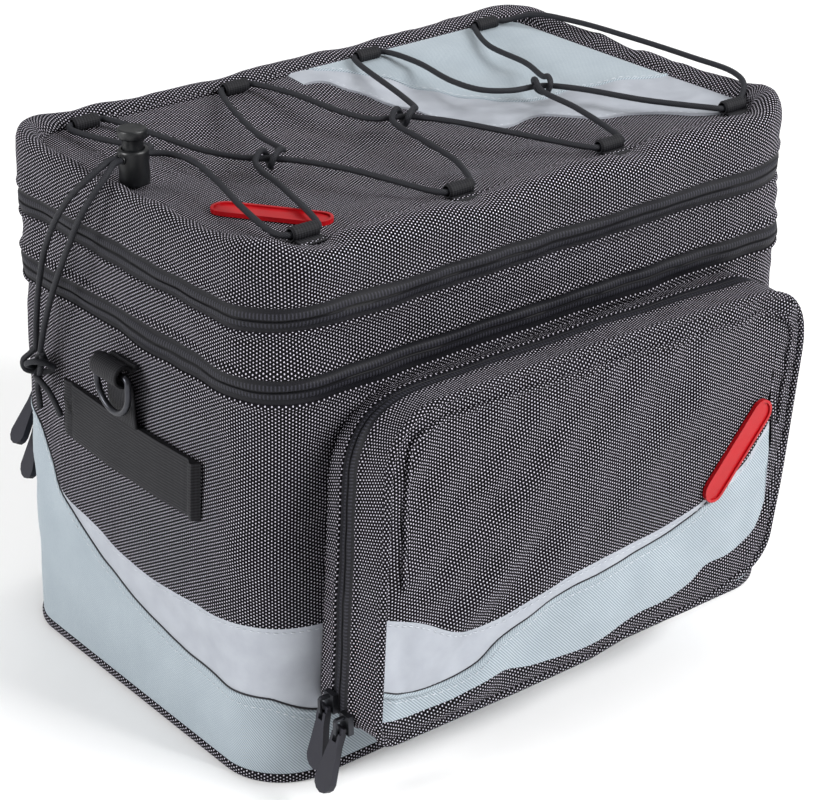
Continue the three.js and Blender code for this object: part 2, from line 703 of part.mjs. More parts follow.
function buildCordLock() {
  const chamfer = 0.8;
  const segments = 14;
  const bore = LOCK_BORE;
  const barrel = lathe([
    [0, 0], [LOCK_RADIUS - chamfer, 0], [LOCK_RADIUS, chamfer], [LOCK_RADIUS, LOCK_BARREL - chamfer],
    [LOCK_RADIUS - chamfer, LOCK_BARREL], [bore, LOCK_BARREL], [bore, LOCK_FLOOR], [0, LOCK_FLOOR],
  ], segments);
  const holeShape = new THREE.Shape();
  const holeRadius = CORD / 2 + 0.6;
  const holeReach = LOCK_HOLE_WIDTH / 2 - holeRadius;
  holeShape.absarc(holeReach, 0, holeRadius, -Math.PI / 2, Math.PI / 2);
  holeShape.absarc(-holeReach, 0, holeRadius, Math.PI / 2, 1.5 * Math.PI);
  const hole = extrude(holeShape, 3 * LOCK_RADIUS, [], 4);
  hole.translate(0, 0, -1.5 * LOCK_RADIUS);
  hole.rotateX(Math.PI / 2);
  hole.rotateZ(Math.PI / 2);
  hole.translate(0, 0, LOCK_HOLE_HEIGHT);
  add('cord_lock_barrel', geometryOf(solid(barrel).subtract(solid(hole))), 'moulding')
    .position.set(LOCK_PLACE.x, LOCK_PLACE.y, lockFoot);

  const stem = bore - LOCK_CLEARANCE;
  const stemFoot = LOCK_FLOOR + LOCK_TRAVEL + 0.5;
  const neckFoot = LOCK_BARREL + LOCK_TRAVEL + GAP;
  const capFoot = neckFoot + LOCK_CAP_NECK;
  const button = lathe([
    [0, stemFoot], [stem, stemFoot], [stem, neckFoot], [LOCK_RADIUS - 1.6, neckFoot], [LOCK_RADIUS - 1.6, capFoot],
    [LOCK_RADIUS, capFoot], [LOCK_RADIUS, capFoot + LOCK_CAP - chamfer], [LOCK_RADIUS - chamfer, capFoot + LOCK_CAP],
    [0, capFoot + LOCK_CAP],
  ], segments);
  const slotLow = LOCK_HOLE_HEIGHT - CORD / 2 - 0.6;
  const slotHigh = LOCK_HOLE_HEIGHT + CORD / 2 + LOCK_TRAVEL + 0.6;
  const slot = new THREE.BoxGeometry(4 * LOCK_RADIUS, LOCK_CORD_SPACING + CORD + 1, slotHigh - slotLow);
  slot.translate(0, 0, (slotLow + slotHigh) / 2);
  add('cord_lock_button', geometryOf(solid(button).subtract(solid(slot))), 'moulding')
    .position.set(LOCK_PLACE.x, LOCK_PLACE.y, lockFoot);
}

// Light strap and carrying rings on the ends

function buildLightStrap() {
  const foldLength = 5;
  const stations = [];
  const steps = 8;
  for (let i = 0; i <= steps; i += 1) {
    stations.push({ y: mix(STRAP.back, STRAP.front + foldLength, i / steps), extra: 0, bow: Math.sin((Math.PI * i) / steps) });
  }
  stations.push({ y: STRAP.front + foldLength - 0.5, extra: WEBBING_THICKNESS, bow: 0 });
  stations.push({ y: STRAP.front, extra: WEBBING_THICKNESS, bow: 0 });
  const sections = stations.map(({ y, extra, bow }) => {
    const turn = turnAtLeft(y);
    const lift = GAP + STRAP_BOW * bow;
    const [low, high] = [STRAP.low, STRAP.low + STRAP_WEBBING];
    return [
      onWall(turn, low, -lift - WEBBING_THICKNESS - extra), onWall(turn, high, -lift - WEBBING_THICKNESS - extra),
      onWall(turn, high, -lift), onWall(turn, low, -lift),
    ];
  });
  add('light_strap', strip(sections, false), 'webbing');
}

const tabFoot = STRAP.low + STRAP_WEBBING + 2 * GAP;
const ringHeight = tabFoot + RING_RISE;

function carryingTab() {
  const barRadius = RING_WIRE / 2 + 0.35;
  const fold = barRadius + WEBBING_THICKNESS;
  const standoff = RING_STANDOFF;
  const outline = new THREE.Shape();
  outline.moveTo(0, tabFoot);
  outline.lineTo(2 * WEBBING_THICKNESS, tabFoot);
  outline.lineTo(2 * WEBBING_THICKNESS, tabFoot + TAB_SEWN);
  outline.lineTo(standoff + fold, ringHeight);
  outline.absarc(standoff, ringHeight, fold, 0, Math.PI);
  outline.lineTo(0, tabFoot + TAB_SEWN + WEBBING_THICKNESS);
  const bore = new THREE.Path();
  bore.absarc(standoff, ringHeight, barRadius, 0, 2 * Math.PI, true);
  const geometry = extrude(outline, TAB_WEBBING, [bore], 5);
  geometry.translate(0, 0, -TAB_WEBBING / 2);
  geometry.rotateX(Math.PI / 2);
  return geometry;
}

function carryingRing() {
  const radius = RING_WIRE / 2;
  const half = TAB_WEBBING / 2 + 1.2 + radius;
  const path = [];
  const barSteps = 2;
  for (let k = 0; k < barSteps; k += 1) path.push([mix(-half + 2, half - 2, k / barSteps), 0]);
  path.push([half - 2, 0], [half - 0.6, -0.6], [half, -2], [half, -7]);
  const arcSteps = 8;
  const arcDrop = RING_DROP - radius - 7;
  for (let k = 1; k < arcSteps; k += 1) {
    const angle = (Math.PI * k) / arcSteps;
    path.push([half * Math.cos(angle), -7 - arcDrop * Math.sin(angle)]);
  }
  path.push([-half, -7], [-half, -2], [-half + 0.6, -0.6]);
  const sides = 6;
  const sections = path.map(([y, z], i) => {
    const before = path[(i + path.length - 1) % path.length];
    const after = path[(i + 1) % path.length];
    const run = new THREE.Vector2(after[0] - before[0], after[1] - before[1]).normalize();
    const section = [];
    for (let k = 0; k < sides; k += 1) {
      const angle = (2 * Math.PI * k) / sides;
      const side = radius * Math.cos(angle);
      section.push(new THREE.Vector3(radius * Math.sin(angle), y - run.y * side, z + run.x * side));
    }
    return section;
  });
  return strip(sections, true);
}

// The end wall's furthest reach behind a tab's foot
function endReach(direction) {
  const low = onWall(direction < 0 ? 3.5 : 1.5, tabFoot, 0).x;
  const high = onWall(direction < 0 ? 3.5 : 1.5, tabFoot + TAB_SEWN, 0).x;
  return Math.max(Math.abs(low), Math.abs(high));
}

function buildCarryingRings() {
  for (const [end, direction] of [['lock_end', -1], ['far_end', 1]]) {
    const y = direction * RING_OFFSET;
    const mount = new THREE.Group();
    mount.position.set(direction * (endReach(direction) + GAP), y, 0);
    if (direction < 0) mount.rotation.z = Math.PI;
    bag.add(mount);
    add(`ring_tab_${end}`, carryingTab(), 'webbing', mount);
    add(`carrying_ring_${end}`, carryingRing(), 'metal', mount).position.set(RING_STANDOFF, 0, ringHeight);
  }
}

// Pockets

const POCKET_CORNER_STEPS = 4;
const POCKET_EDGE_STEPS = [6, 5, 6, 5];

// A soft four-cornered outline in x and z, with the same stations whatever its corners
function softOutline(corners) {
  const points = [];
  corners.forEach((corner, i) => {
    const place = new THREE.Vector2(corner.x, corner.z);
    const towards = (other) => new THREE.Vector2(other.x, other.z).sub(place).normalize();
    const before = corners[(i + 3) % 4];
    const after = corners[(i + 1) % 4];
    const start = place.clone().addScaledVector(towards(before), corner.radius);
    const end = place.clone().addScaledVector(towards(after), corner.radius);
    for (let k = 0; k <= POCKET_CORNER_STEPS; k += 1) {
      const t = k / POCKET_CORNER_STEPS;
      const pull = place.clone().multiplyScalar(2 * t * (1 - t));
      points.push(start.clone().multiplyScalar((1 - t) ** 2).add(pull).addScaledVector(end, t * t));
    }
    const nextStart = new THREE.Vector2(after.x, after.z)
      .addScaledVector(towards(after).negate(), after.radius);
    for (let k = 1; k < POCKET_EDGE_STEPS[i]; k += 1) {
      points.push(end.clone().lerp(nextStart, k / POCKET_EDGE_STEPS[i]));
    }
  });
  return points;
}

function inset(ring, distance) {
  return ring.map((p, i) => {
    const before = ring[(i + ring.length - 1) % ring.length];
    const after = ring[(i + 1) % ring.length];
    const run = after.clone().sub(before).normalize();
    return new THREE.Vector2(p.x - run.y * distance, p.y + run.x * distance);
  });
}

// Shares along and up the face, and the place that belongs to them
function faceShares(x, z) {
  const [a, b, c, d] = POCKET_FACE;
  const v = Math.min(1, Math.max(0, (z - a.z) / (d.z - a.z)));
  const left = mix(a.x, d.x, v);
  return { u: Math.min(1, Math.max(0, (x - left) / (mix(b.x, c.x, v) - left))), v };
}

function faceX(u, z) {
  const [a, b, c, d] = POCKET_FACE;
  const v = (z - a.z) / (d.z - a.z);
  return mix(mix(a.x, d.x, v), mix(b.x, c.x, v), u);
}

const seatRing = softOutline(POCKET_SEAT);
const faceRing = softOutline(POCKET_FACE).map((p) => {
  const { u, v } = faceShares(p.x, p.y);
  return new THREE.Vector2(p.x, p.y + POCKET_TOP_BOW * 4 * u * (1 - u) * v ** 4);
});
const faceCentre = faceRing.reduce((sum, p) => sum.add(p), new THREE.Vector2()).divideScalar(faceRing.length);

function faceDepth(pocket, x, z) {
  const { u, v } = faceShares(x, z);
  return pocket.depth + POCKET_CROWN * 16 * u * (1 - u) * v * (1 - v);
}

// The gusset, some millimetres out from the wall, sunk in from its outer face by a thickness
function gussetRing(pocket, out, sink) {
  const seat = inset(seatRing, sink);
  const face = inset(faceRing, sink);
  const share = out / pocket.depth;
  return seat.map((p, i) => {
    const q = p.clone().lerp(face[i], share);
    q.addScaledVector(q.clone().sub(faceCentre).normalize(), POCKET_BULGE * Math.sin(Math.PI * share));
    return new THREE.Vector3(q.x, pocket.side * (halfWidth + out), q.y);
  });
}

function faceRingAt(pocket, distance, share, sink) {
  return inset(faceRing, distance).map((p) => {
    const q = faceCentre.clone().lerp(p, share);
    return new THREE.Vector3(q.x, pocket.side * (halfWidth + faceDepth(pocket, q.x, q.y) - sink), q.y);
  });
}

// A strip round the gusset between two distances from the wall, or a part of the way round
function gussetStrip(pocket, { low, high, proud = 0, thickness = POCKET_WALL, from = 0, count }) {
  const rings = [
    gussetRing(pocket, low, -proud), gussetRing(pocket, high, -proud),
    gussetRing(pocket, high, thickness - proud), gussetRing(pocket, low, thickness - proud),
  ];
  const total = rings[0].length;
  const closed = count === undefined;
  const sections = [];
  for (let i = 0; i < (closed ? total : count + 1); i += 1) {
    sections.push(rings.map((ring) => ring[(from + i) % total]));
  }
  return { sections, closed };
}

// The ends of an open strip drawn back by a clearance, so that the next strip can start there
function drawnBack(sections, distance) {
  const last = sections.length - 1;
  for (const [end, next] of [[0, 1], [last, last - 1]]) {
    sections[end] = sections[end].map((p, k) => {
      const run = sections[next][k].clone().sub(p);
      return p.clone().addScaledVector(run, distance / run.length());
    });
  }
  return sections;
}

// A skin of cloth on the face between two seams that run along it
function facePatch(pocket, lowOf, highOf, from, to, steps) {
  const sections = [];
  for (let i = 0; i <= steps; i += 1) {
    const u = mix(from, to, i / steps);
    const section = [];
    for (const out of [GAP + PATCH_THICKNESS, GAP]) {
      for (let k = 0; k <= 2; k += 1) {
        const z = mix(lowOf(u), highOf(u), out === GAP ? 1 - k / 2 : k / 2);
        const x = faceX(u, z);
        section.push(new THREE.Vector3(x, pocket.side * (halfWidth + faceDepth(pocket, x, z) + out), z));
      }
    }
    sections.push(section);
  }
  return strip(sections, false);
}

// The pocket's swoosh: shares along the face, heights of its two seams as shares of the face's
const POCKET_WAVE = [
  { u: 0, seam: 0.133, edge: 0.394 },
  { u: 0.1, seam: 0.08, edge: 0.317 },
  { u: 0.23, seam: 0.082, edge: 0.22 },
  { u: 0.35, seam: 0.13, edge: 0.2 },
  { u: 0.43, seam: 0.173, edge: 0.22 },
  { u: 0.55, seam: 0.187, edge: 0.25 },
  { u: 0.785, seam: 0.24, edge: 0.291 },
  { u: 0.937, seam: 0.364, edge: 0.4 },
  { u: 1, seam: 0.44, edge: 0.55 },
];
const PATCH_FROM = 0.03;
const PATCH_TO = 0.97;
const GREY_FOOT = 0.035; // share of the face's height where the grey cloth starts
const GREY_FOOT_RISE = 0.05; // more than that at the rounded corners

function faceHeight(share) {
  return mix(POCKET_FACE[0].z, POCKET_FACE[3].z, share);
}

function buildPocket(pocket) {
  const zipFrom = pocket.flange + GAP;
  const zipTo = zipFrom + ZIP_TAPE;
  // The zip runs from the low corner at the lock's end over the top to the one at the far end
  const total = seatRing.length;
  const hingeFrom = POCKET_CORNER_STEPS / 2;
  const hingeCount = POCKET_EDGE_STEPS[0] + POCKET_CORNER_STEPS;
  const zip = gussetStrip(pocket, {
    low: zipFrom, high: zipTo, proud: ZIP_PROUD / 2, thickness: WALL,
    from: hingeFrom + hingeCount, count: total - hingeCount,
  });
  const hinge = gussetStrip(pocket, { low: zipFrom, high: zipTo, from: hingeFrom, count: hingeCount });
  const flange = gussetStrip(pocket, { low: PIPING_PROUD + GAP, high: pocket.flange });
  add(`${pocket.name}_pocket_flange`, strip(flange.sections, flange.closed), 'black');
  add(`${pocket.name}_pocket_zip`, strip(zip.sections, zip.closed), 'tape');
  add(`${pocket.name}_pocket_hinge`, strip(drawnBack(hinge.sections, 2 * GAP), hinge.closed), 'black');
  const edge = POCKET_EDGE_RADIUS;
  const outer = [
    gussetRing(pocket, zipTo + GAP, 0),
    gussetRing(pocket, pocket.depth - edge, 0),
    gussetRing(pocket, pocket.depth - edge * 0.3, edge * 0.3),
    faceRingAt(pocket, edge, 1, 0),
    faceRingAt(pocket, edge, 0.66, 0),
    faceRingAt(pocket, edge, 0.3, 0),
  ];
  const inner = [
    gussetRing(pocket, zipTo + GAP, POCKET_WALL),
    gussetRing(pocket, pocket.depth - edge, POCKET_WALL),
    faceRingAt(pocket, edge + POCKET_WALL * 0.5, 1, POCKET_WALL),
    faceRingAt(pocket, edge, 0.5, POCKET_WALL),
  ];
  add(`${pocket.name}_pocket_shell`, cup(outer, inner), 'black');
  const seam = (u) => faceHeight(read(POCKET_WAVE, 'u', 'seam', u));
  const foot = (u) => faceHeight(GREY_FOOT + GREY_FOOT_RISE * Math.abs(2 * u - 1) ** 8);
  add(`${pocket.name}_pocket_grey_panel`, facePatch(pocket, foot, (u) => seam(u) - PIPING / 2,
    PATCH_FROM, PATCH_TO, 12), 'grey');
  add(`${pocket.name}_pocket_reflective_band`, facePatch(pocket, (u) => seam(u) + PIPING / 2,
    (u) => faceHeight(read(POCKET_WAVE, 'u', 'edge', u)), PATCH_FROM, PATCH_TO, 14), 'silver');
}

// Zip sliders and their pulls

// A slider on a zip that runs along its own Z, standing out along its own X
function slider() {
  const { length, width, height, bridge, arch, roof } = SLIDER;
  const body = new THREE.BoxGeometry(height, width, length);
  body.translate(height / 2, 0, 0);
  const half = length / 2 - 0.6;
  const side = new THREE.Shape();
  side.moveTo(height - 0.5, -half);
  side.lineTo(height + arch + roof - 1, -half);
  side.lineTo(height + arch + roof, -half + 1);
  side.lineTo(height + arch + roof, half - 1);
  side.lineTo(height + arch + roof - 1, half);
  side.lineTo(height - 0.5, half);
  const post = 1.3;
  const window = new THREE.Path([
    new THREE.Vector2(height, -half + post), new THREE.Vector2(height + arch, -half + post),
    new THREE.Vector2(height + arch, half - post), new THREE.Vector2(height, half - post),
  ]);
  const bow = extrude(side, bridge, [window]);
  bow.translate(0, 0, -bridge / 2);
  bow.rotateX(Math.PI / 2);
  return geometryOf(solid(body).add(solid(bow)));
}

// A pull that hangs along its own -Z from a bar on its own Y axis
function pull() {
  const { length, width, neck, thickness, bar, window, windowLength } = PULL;
  const outline = new THREE.Shape();
  const lobe = width / 2;
  outline.moveTo(-neck / 2, bar / 2);
  outline.lineTo(-neck / 2, -windowLength);
  for (let k = 0; k <= 6; k += 1) {
    const angle = Math.PI + (Math.PI * k) / 6;
    outline.lineTo(lobe * Math.cos(angle), -length + lobe + lobe * Math.sin(angle));
  }
  outline.lineTo(neck / 2, -windowLength);
  outline.lineTo(neck / 2, bar / 2);
  const opening = new THREE.Path([
    new THREE.Vector2(-window / 2, -bar / 2), new THREE.Vector2(window / 2, -bar / 2),
    new THREE.Vector2(window / 2, -bar / 2 - windowLength + bar + 1),
    new THREE.Vector2(-window / 2, -bar / 2 - windowLength + bar + 1),
  ]);
  const plate = extrude(outline, thickness, [opening]);
  plate.translate(0, 0, -thickness / 2);
  const narrow = new THREE.BoxGeometry(2 * width, 2 * bar, thickness);
  narrow.translate(0, 0, thickness / 2 + bar / 2);
  const lower = narrow.clone();
  lower.translate(0, 0, -thickness - bar);
  const thinned = geometryOf(solid(plate).subtract(solid(narrow)).subtract(solid(lower)));
  thinned.rotateX(Math.PI / 2);
  thinned.rotateZ(Math.PI / 2);
  return thinned;
}

// Where the sliders are parked on the pockets' lock-end gussets: out from the middle of the zip,
// up from the ground, and how far their pulls lean off the wall
const PARKED = {
  front: [{ out: -4.6, z: 49.5, tilt: 11 }, { out: 7.6, z: 44, tilt: 20 }],
  back: [{ out: 0, z: 116, tilt: 32 }, { out: 0, z: 97, tilt: 20 }],
};

function gussetX(pocket, out, z) {
  const ring = gussetRing(pocket, out, 0);
  let best = 0;
  ring.forEach((p, i) => {
    const q = ring[(i + 1) % ring.length];
    if (p.x < 0 && (p.z - z) * (q.z - z) <= 0 && p.z !== q.z) {
      best = Math.min(best, mix(p.x, q.x, (z - p.z) / (q.z - p.z)));
    }
  });
  return best;
}

function buildPocketSliders() {
  for (const pocket of Object.values(POCKETS)) {
    const zipMiddle = pocket.flange + GAP + ZIP_TAPE / 2;
    PARKED[pocket.name].forEach(({ out, z, tilt }, i) => {
      const place = new THREE.Group();
      const reach = Math.min(...[-1, 1].map((end) => gussetX(pocket, zipMiddle + out, z + (end * SLIDER.length) / 2)));
      place.position.set(reach - ZIP_PROUD / 2 - 2 * GAP, pocket.side * (halfWidth + zipMiddle + out), z);
      place.rotation.z = Math.PI;
      bag.add(place);
      add(`${pocket.name}_pocket_slider_${i + 1}`, slider(), 'metal', place);
      const hanging = add(`${pocket.name}_pocket_pull_${i + 1}`, pull(), 'pull', place);
      hanging.position.set(SLIDER.height + SLIDER.arch / 2, 0, -PULL_DROP);
      hanging.rotation.y = -THREE.MathUtils.degToRad(tilt);
    });
  }
}

// The main zips' sliders, parked on the far end: each is one plain piece with its pull beside it
function parkedSlider() {
  const body = new THREE.BoxGeometry(SLIDER.height + 2, SLIDER.length, SLIDER.width);
  body.translate(SLIDER.height / 2 + 1, 0, 0);
  const tab = extrude(pill(PULL.length, PULL.width * 0.7), PULL.thickness);
  tab.rotateX(Math.PI / 2);
  tab.rotateZ(Math.PI / 2);
  tab.translate(SLIDER.height - 0.5, PULL.length / 2 + 2, 0);
  return geometryOf(solid(body).add(solid(tab)));
}

function buildMainSliders() {
  const parked = [
    { name: 'lid_zip_slider_1', turn: 1.42, z: LID_ZIP_HEIGHT, flip: true },
    { name: 'lid_zip_slider_2', turn: 1.5, z: LID_ZIP_HEIGHT, flip: false },
    { name: 'expansion_zip_slider', turn: 1.5, z: EXPANSION_ZIP_HEIGHT, flip: false },
  ];
  for (const { name, turn, z, flip } of parked) {
    const geometry = parkedSlider();
    if (flip) geometry.rotateX(Math.PI);
    const place = onWall(turn, z, -ZIP_PROUD - GAP - 0.3);
    add(name, geometry, 'metal').position.copy(place);
  }
}

// Badges on the front pocket and in the lid's front corner

function buildBadges() {
  const pocketPlace = { x: 82, z: 121, tilt: 46 };
  const tilt = THREE.MathUtils.degToRad(pocketPlace.tilt);
  const probe = (du, dv) => {
    const x = pocketPlace.x + du * Math.cos(tilt) - dv * Math.sin(tilt);
    const z = pocketPlace.z + du * Math.sin(tilt) + dv * Math.cos(tilt);
    return new THREE.Vector3(x, -(halfWidth + faceDepth(POCKETS.front, x, z)), z);
  };
  const run = probe(BADGE.length / 2, 0).sub(probe(-BADGE.length / 2, 0)).normalize();
  const up = probe(0, BADGE.width / 2).sub(probe(0, -BADGE.width / 2));
  const out = run.clone().cross(up).normalize();
  const across = out.clone().cross(run);
  const matrix = new THREE.Matrix4().makeBasis(run, across, out);
  matrix.setPosition(probe(0, 0).addScaledVector(out, GAP + 0.1));
  const onPocket = badge();
  onPocket.applyMatrix4(matrix);
  add('pocket_badge', onPocket, 'badge');

  const lidPlace = { x: -115, y: -55, turn: -55 };
  const onLid = badge();
  onLid.rotateZ(THREE.MathUtils.degToRad(lidPlace.turn));
  onLid.translate(lidPlace.x, lidPlace.y, panelHeight(lidPlace.x, lidPlace.y) + 2 * GAP);
  add('lid_badge', onLid, 'badge');
}

buildBody();
buildLid();
buildLacing();
buildCordLock();
buildLightStrap();
buildCarryingRings();
buildPocket(POCKETS.front);
buildPocket(POCKETS.back);
buildPocketSliders();
buildMainSliders();
buildBadges();

export default bag;
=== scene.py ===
"""Looks of the bicycle rack bag: woven cloth skins, zips, webbing, lacing and moulded parts.

Lengths in this file are millimetres unless a name says otherwise, and each mesh is scaled to
metres when it is made. X runs along the bag, -Y is the front pocket's side, Z is up.
"""

import logging
import math
from dataclasses import dataclass
from enum import Enum
from typing import Callable, Mapping, Sequence

import bpy
from mathutils import Matrix, Vector, noise


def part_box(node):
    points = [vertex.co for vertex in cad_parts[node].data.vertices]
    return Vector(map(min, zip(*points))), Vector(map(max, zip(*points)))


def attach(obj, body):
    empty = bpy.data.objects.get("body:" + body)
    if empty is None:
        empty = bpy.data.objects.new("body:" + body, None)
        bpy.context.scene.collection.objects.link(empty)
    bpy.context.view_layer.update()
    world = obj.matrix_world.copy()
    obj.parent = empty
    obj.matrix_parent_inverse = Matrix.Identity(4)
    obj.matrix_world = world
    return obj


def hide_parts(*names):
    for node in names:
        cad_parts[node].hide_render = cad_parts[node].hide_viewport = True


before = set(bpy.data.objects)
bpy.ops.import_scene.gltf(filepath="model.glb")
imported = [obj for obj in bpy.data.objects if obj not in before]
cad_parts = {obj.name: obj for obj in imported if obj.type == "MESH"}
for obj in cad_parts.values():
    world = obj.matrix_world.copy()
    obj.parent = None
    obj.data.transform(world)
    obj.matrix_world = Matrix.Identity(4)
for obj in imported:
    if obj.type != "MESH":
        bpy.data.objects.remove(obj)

LOG = logging.getLogger("rack_bag")
MM = 0.001
SOFT_EDGE = 42.0  # the angle in degrees above which cloth shows a crisp edge
CRISP_EDGE = 60.0  # the same for zips, cords and moulded parts
UV_NAME = "Millimetres"

Row = Mapping[str, float]
Height = Callable[[float], float]
Grid = list[list[Vector]]
Uvs = list[list[tuple[float, float]]]
Profile = Callable[[float, float], float]
Point = tuple[float, float, float]
Socket = bpy.types.NodeSocket
Value = bpy.types.NodeSocket | float
Colour = bpy.types.NodeSocket | str


class Slot(Enum):
    """The record's material slots."""

    BLACK = "black_cloth"
    GREY = "grey_cloth"
    SILVER = "reflective_cloth"
    TAPE = "zip_tape"
    WEBBING = "webbing"
    CORD = "elastic_cord"
    LOCK = "cord_lock_plastic"
    METAL = "dark_metal"


def rows(keys: str, *lines: Sequence[float]) -> tuple[Row, ...]:
    """Return a table's rows.

    Args:
        keys: The columns' names, with spaces between them.
        *lines: Each row's values.

    Returns:
        The rows, each with its values by name.
    """
    names = keys.split()
    return tuple(dict(zip(names, line)) for line in lines)


# The box, as the CAD part has it
LENGTH = 338.0
WIDTH = 228.0
RIM_HEIGHT = 266.0
CORNER_RADIUS = 33.0
WALL = 2.4
GAP = 0.3
END_BULGE = 2.0
SLACK = 6.0
BINDING_HEIGHT = 5.0
EXPANSION_ZIP_HEIGHT = 202.5
LID_ZIP_HEIGHT = 236.0
ZIP_TAPE = 12.0
WAVE_LOW = 34.0
WAVE_RISE = 99.0
BAND_HEIGHT = 46.0
PIPING = 2.6
SEAM_DROP = 4.0
PANEL_SAG = 6.0
RIM_CORNER_LIFT = 4.0
RIM_WIDTHS = (18.0, 10.0, 10.0, 10.0)
CORNER_SHARE = 0.1
WHOLE = (2.5, 6.5)  # the turns all the way round, from and to the middle of the back
LID_ZIP_SPAN = (2.8, 6.2)
HINGE_SPAN = (2.2, 2.8)
WALL_SPREAD = 120.0  # the wall's height that its rows are spaced for
HALF_LENGTH = LENGTH / 2
HALF_WIDTH = WIDTH / 2
CORE_LENGTH = HALF_LENGTH - CORNER_RADIUS
CORE_WIDTH = HALF_WIDTH - CORNER_RADIUS
CORE_CORNERS = tuple((x * CORE_LENGTH, y * CORE_WIDTH) for x, y in ((-1, -1), (1, -1), (1, 1), (-1, 1)))
LID_FOOT = LID_ZIP_HEIGHT + ZIP_TAPE / 2 + GAP

LEAN = rows(
    "level left right",
    (0, 0, 0), (0.4, 0.35, -0.1), (0.75, 1, -0.3), (1, 1, -0.3),
)
WAVE = rows(
    "turn rise band",
    (0, 0.09, 0.83), (0.11, 0, 1), (0.27, 0.04, 0.6), (0.4, 0.16, 0.25), (0.5, 0.3, 0.06), (0.6, 0.47, 0),
    (0.74, 0.73, 0), (0.9, 1, 0), (1, 0.92, 0), (1.1, 0.82, 0), (1.2, 0.54, 0.03), (1.32, 0.38, 0.22),
    (1.58, 0.19, 0.48), (1.74, 0.13, 0.65), (1.9, 0.1, 0.77), (2, 0.09, 0.83),
)
BAND_FROM = 1.19
BAND_TO = 2.54
BAND_SEWN_FROM = 1.3
BAND_SEWN_TO = 2.44
PANEL_SEAM = 2.8  # how far the stitches run below the edge
BAND_SEAM = 2.2
BAG_ENDS = (("lock_end", 2), ("far_end", 0))  # each end and the turns to it from the far end


def mix(a: float, b: float, t: float) -> float:
    """Return the value a share t of the way from a to b."""
    return a + (b - a) * t


def smoothstep(low: float, high: float, value: float) -> float:
    """Return 0 below low, 1 above high, and a smooth step between them."""
    t = min(1.0, max(0.0, (value - low) / (high - low)))
    return t * t * (3 - 2 * t)


def read(table: Sequence[Row], key: str, column: str, at: float) -> float:
    """Read a table's column smoothly.

    Args:
        table: Rows in order of the key column.
        key: The column that is looked up.
        column: The column that is read.
        at: The key's value.

    Returns:
        The column's value on a smooth curve through the rows.
    """
    last = len(table) - 1
    if at <= table[0][key]:
        return table[0][column]
    if at >= table[last][key]:
        return table[last][column]
    i = 0
    while at > table[i + 1][key]:
        i += 1

    def slope(j: int) -> float:
        """Return the curve's slope at a row."""
        a, b = table[max(j - 1, 0)], table[min(j + 1, last)]
        return (b[column] - a[column]) / (b[key] - a[key])

    span = table[i + 1][key] - table[i][key]
    t = (at - table[i][key]) / span
    return (
        table[i][column] * (2 * t**3 - 3 * t**2 + 1)
        + slope(i) * span * (t**3 - 2 * t**2 + t)
        + table[i + 1][column] * (3 * t**2 - 2 * t**3)
        + slope(i + 1) * span * (t**3 - t**2)
    )


def ruffle(point: Vector, amount: float, size: float = 34.0) -> float:
    """Return how far soft cloth stands off its plain form at a point."""
    big = noise.noise(point / size)
    small = noise.noise(point / (size * 0.42) + Vector((7.3, 1.9, 4.4)))
    return amount * (big + 0.4 * small)


# Materials


def linear(colour: str) -> tuple[float, float, float, float]:
    """Turn an sRGB hex colour into a linear one with full alpha."""
    parts = [int(colour[i : i + 2], 16) / 255 for i in (1, 3, 5)]
    values = [c / 12.92 if c <= 0.04045 else ((c + 0.055) / 1.055) ** 2.4 for c in parts]
    return values[0], values[1], values[2], 1.0


def add_node(tree: bpy.types.NodeTree, kind: str, inputs: Mapping[str | int, object] | None = None,
             **settings: object) -> bpy.types.Node:
    """Add a shader node.

    Args:
        tree: The material's node tree.
        kind: The node's type name.
        inputs: Values or sockets by input name or number.
        **settings: The node's own properties.

    Returns:
        The new node.
    """
    node = tree.nodes.new(kind)
    for name, value in settings.items():
        setattr(node, name, value)
    for name, value in (inputs or {}).items():
        if isinstance(value, bpy.types.NodeSocket):
            tree.links.new(value, node.inputs[name])
        else:
            node.inputs[name].default_value = value
    return node


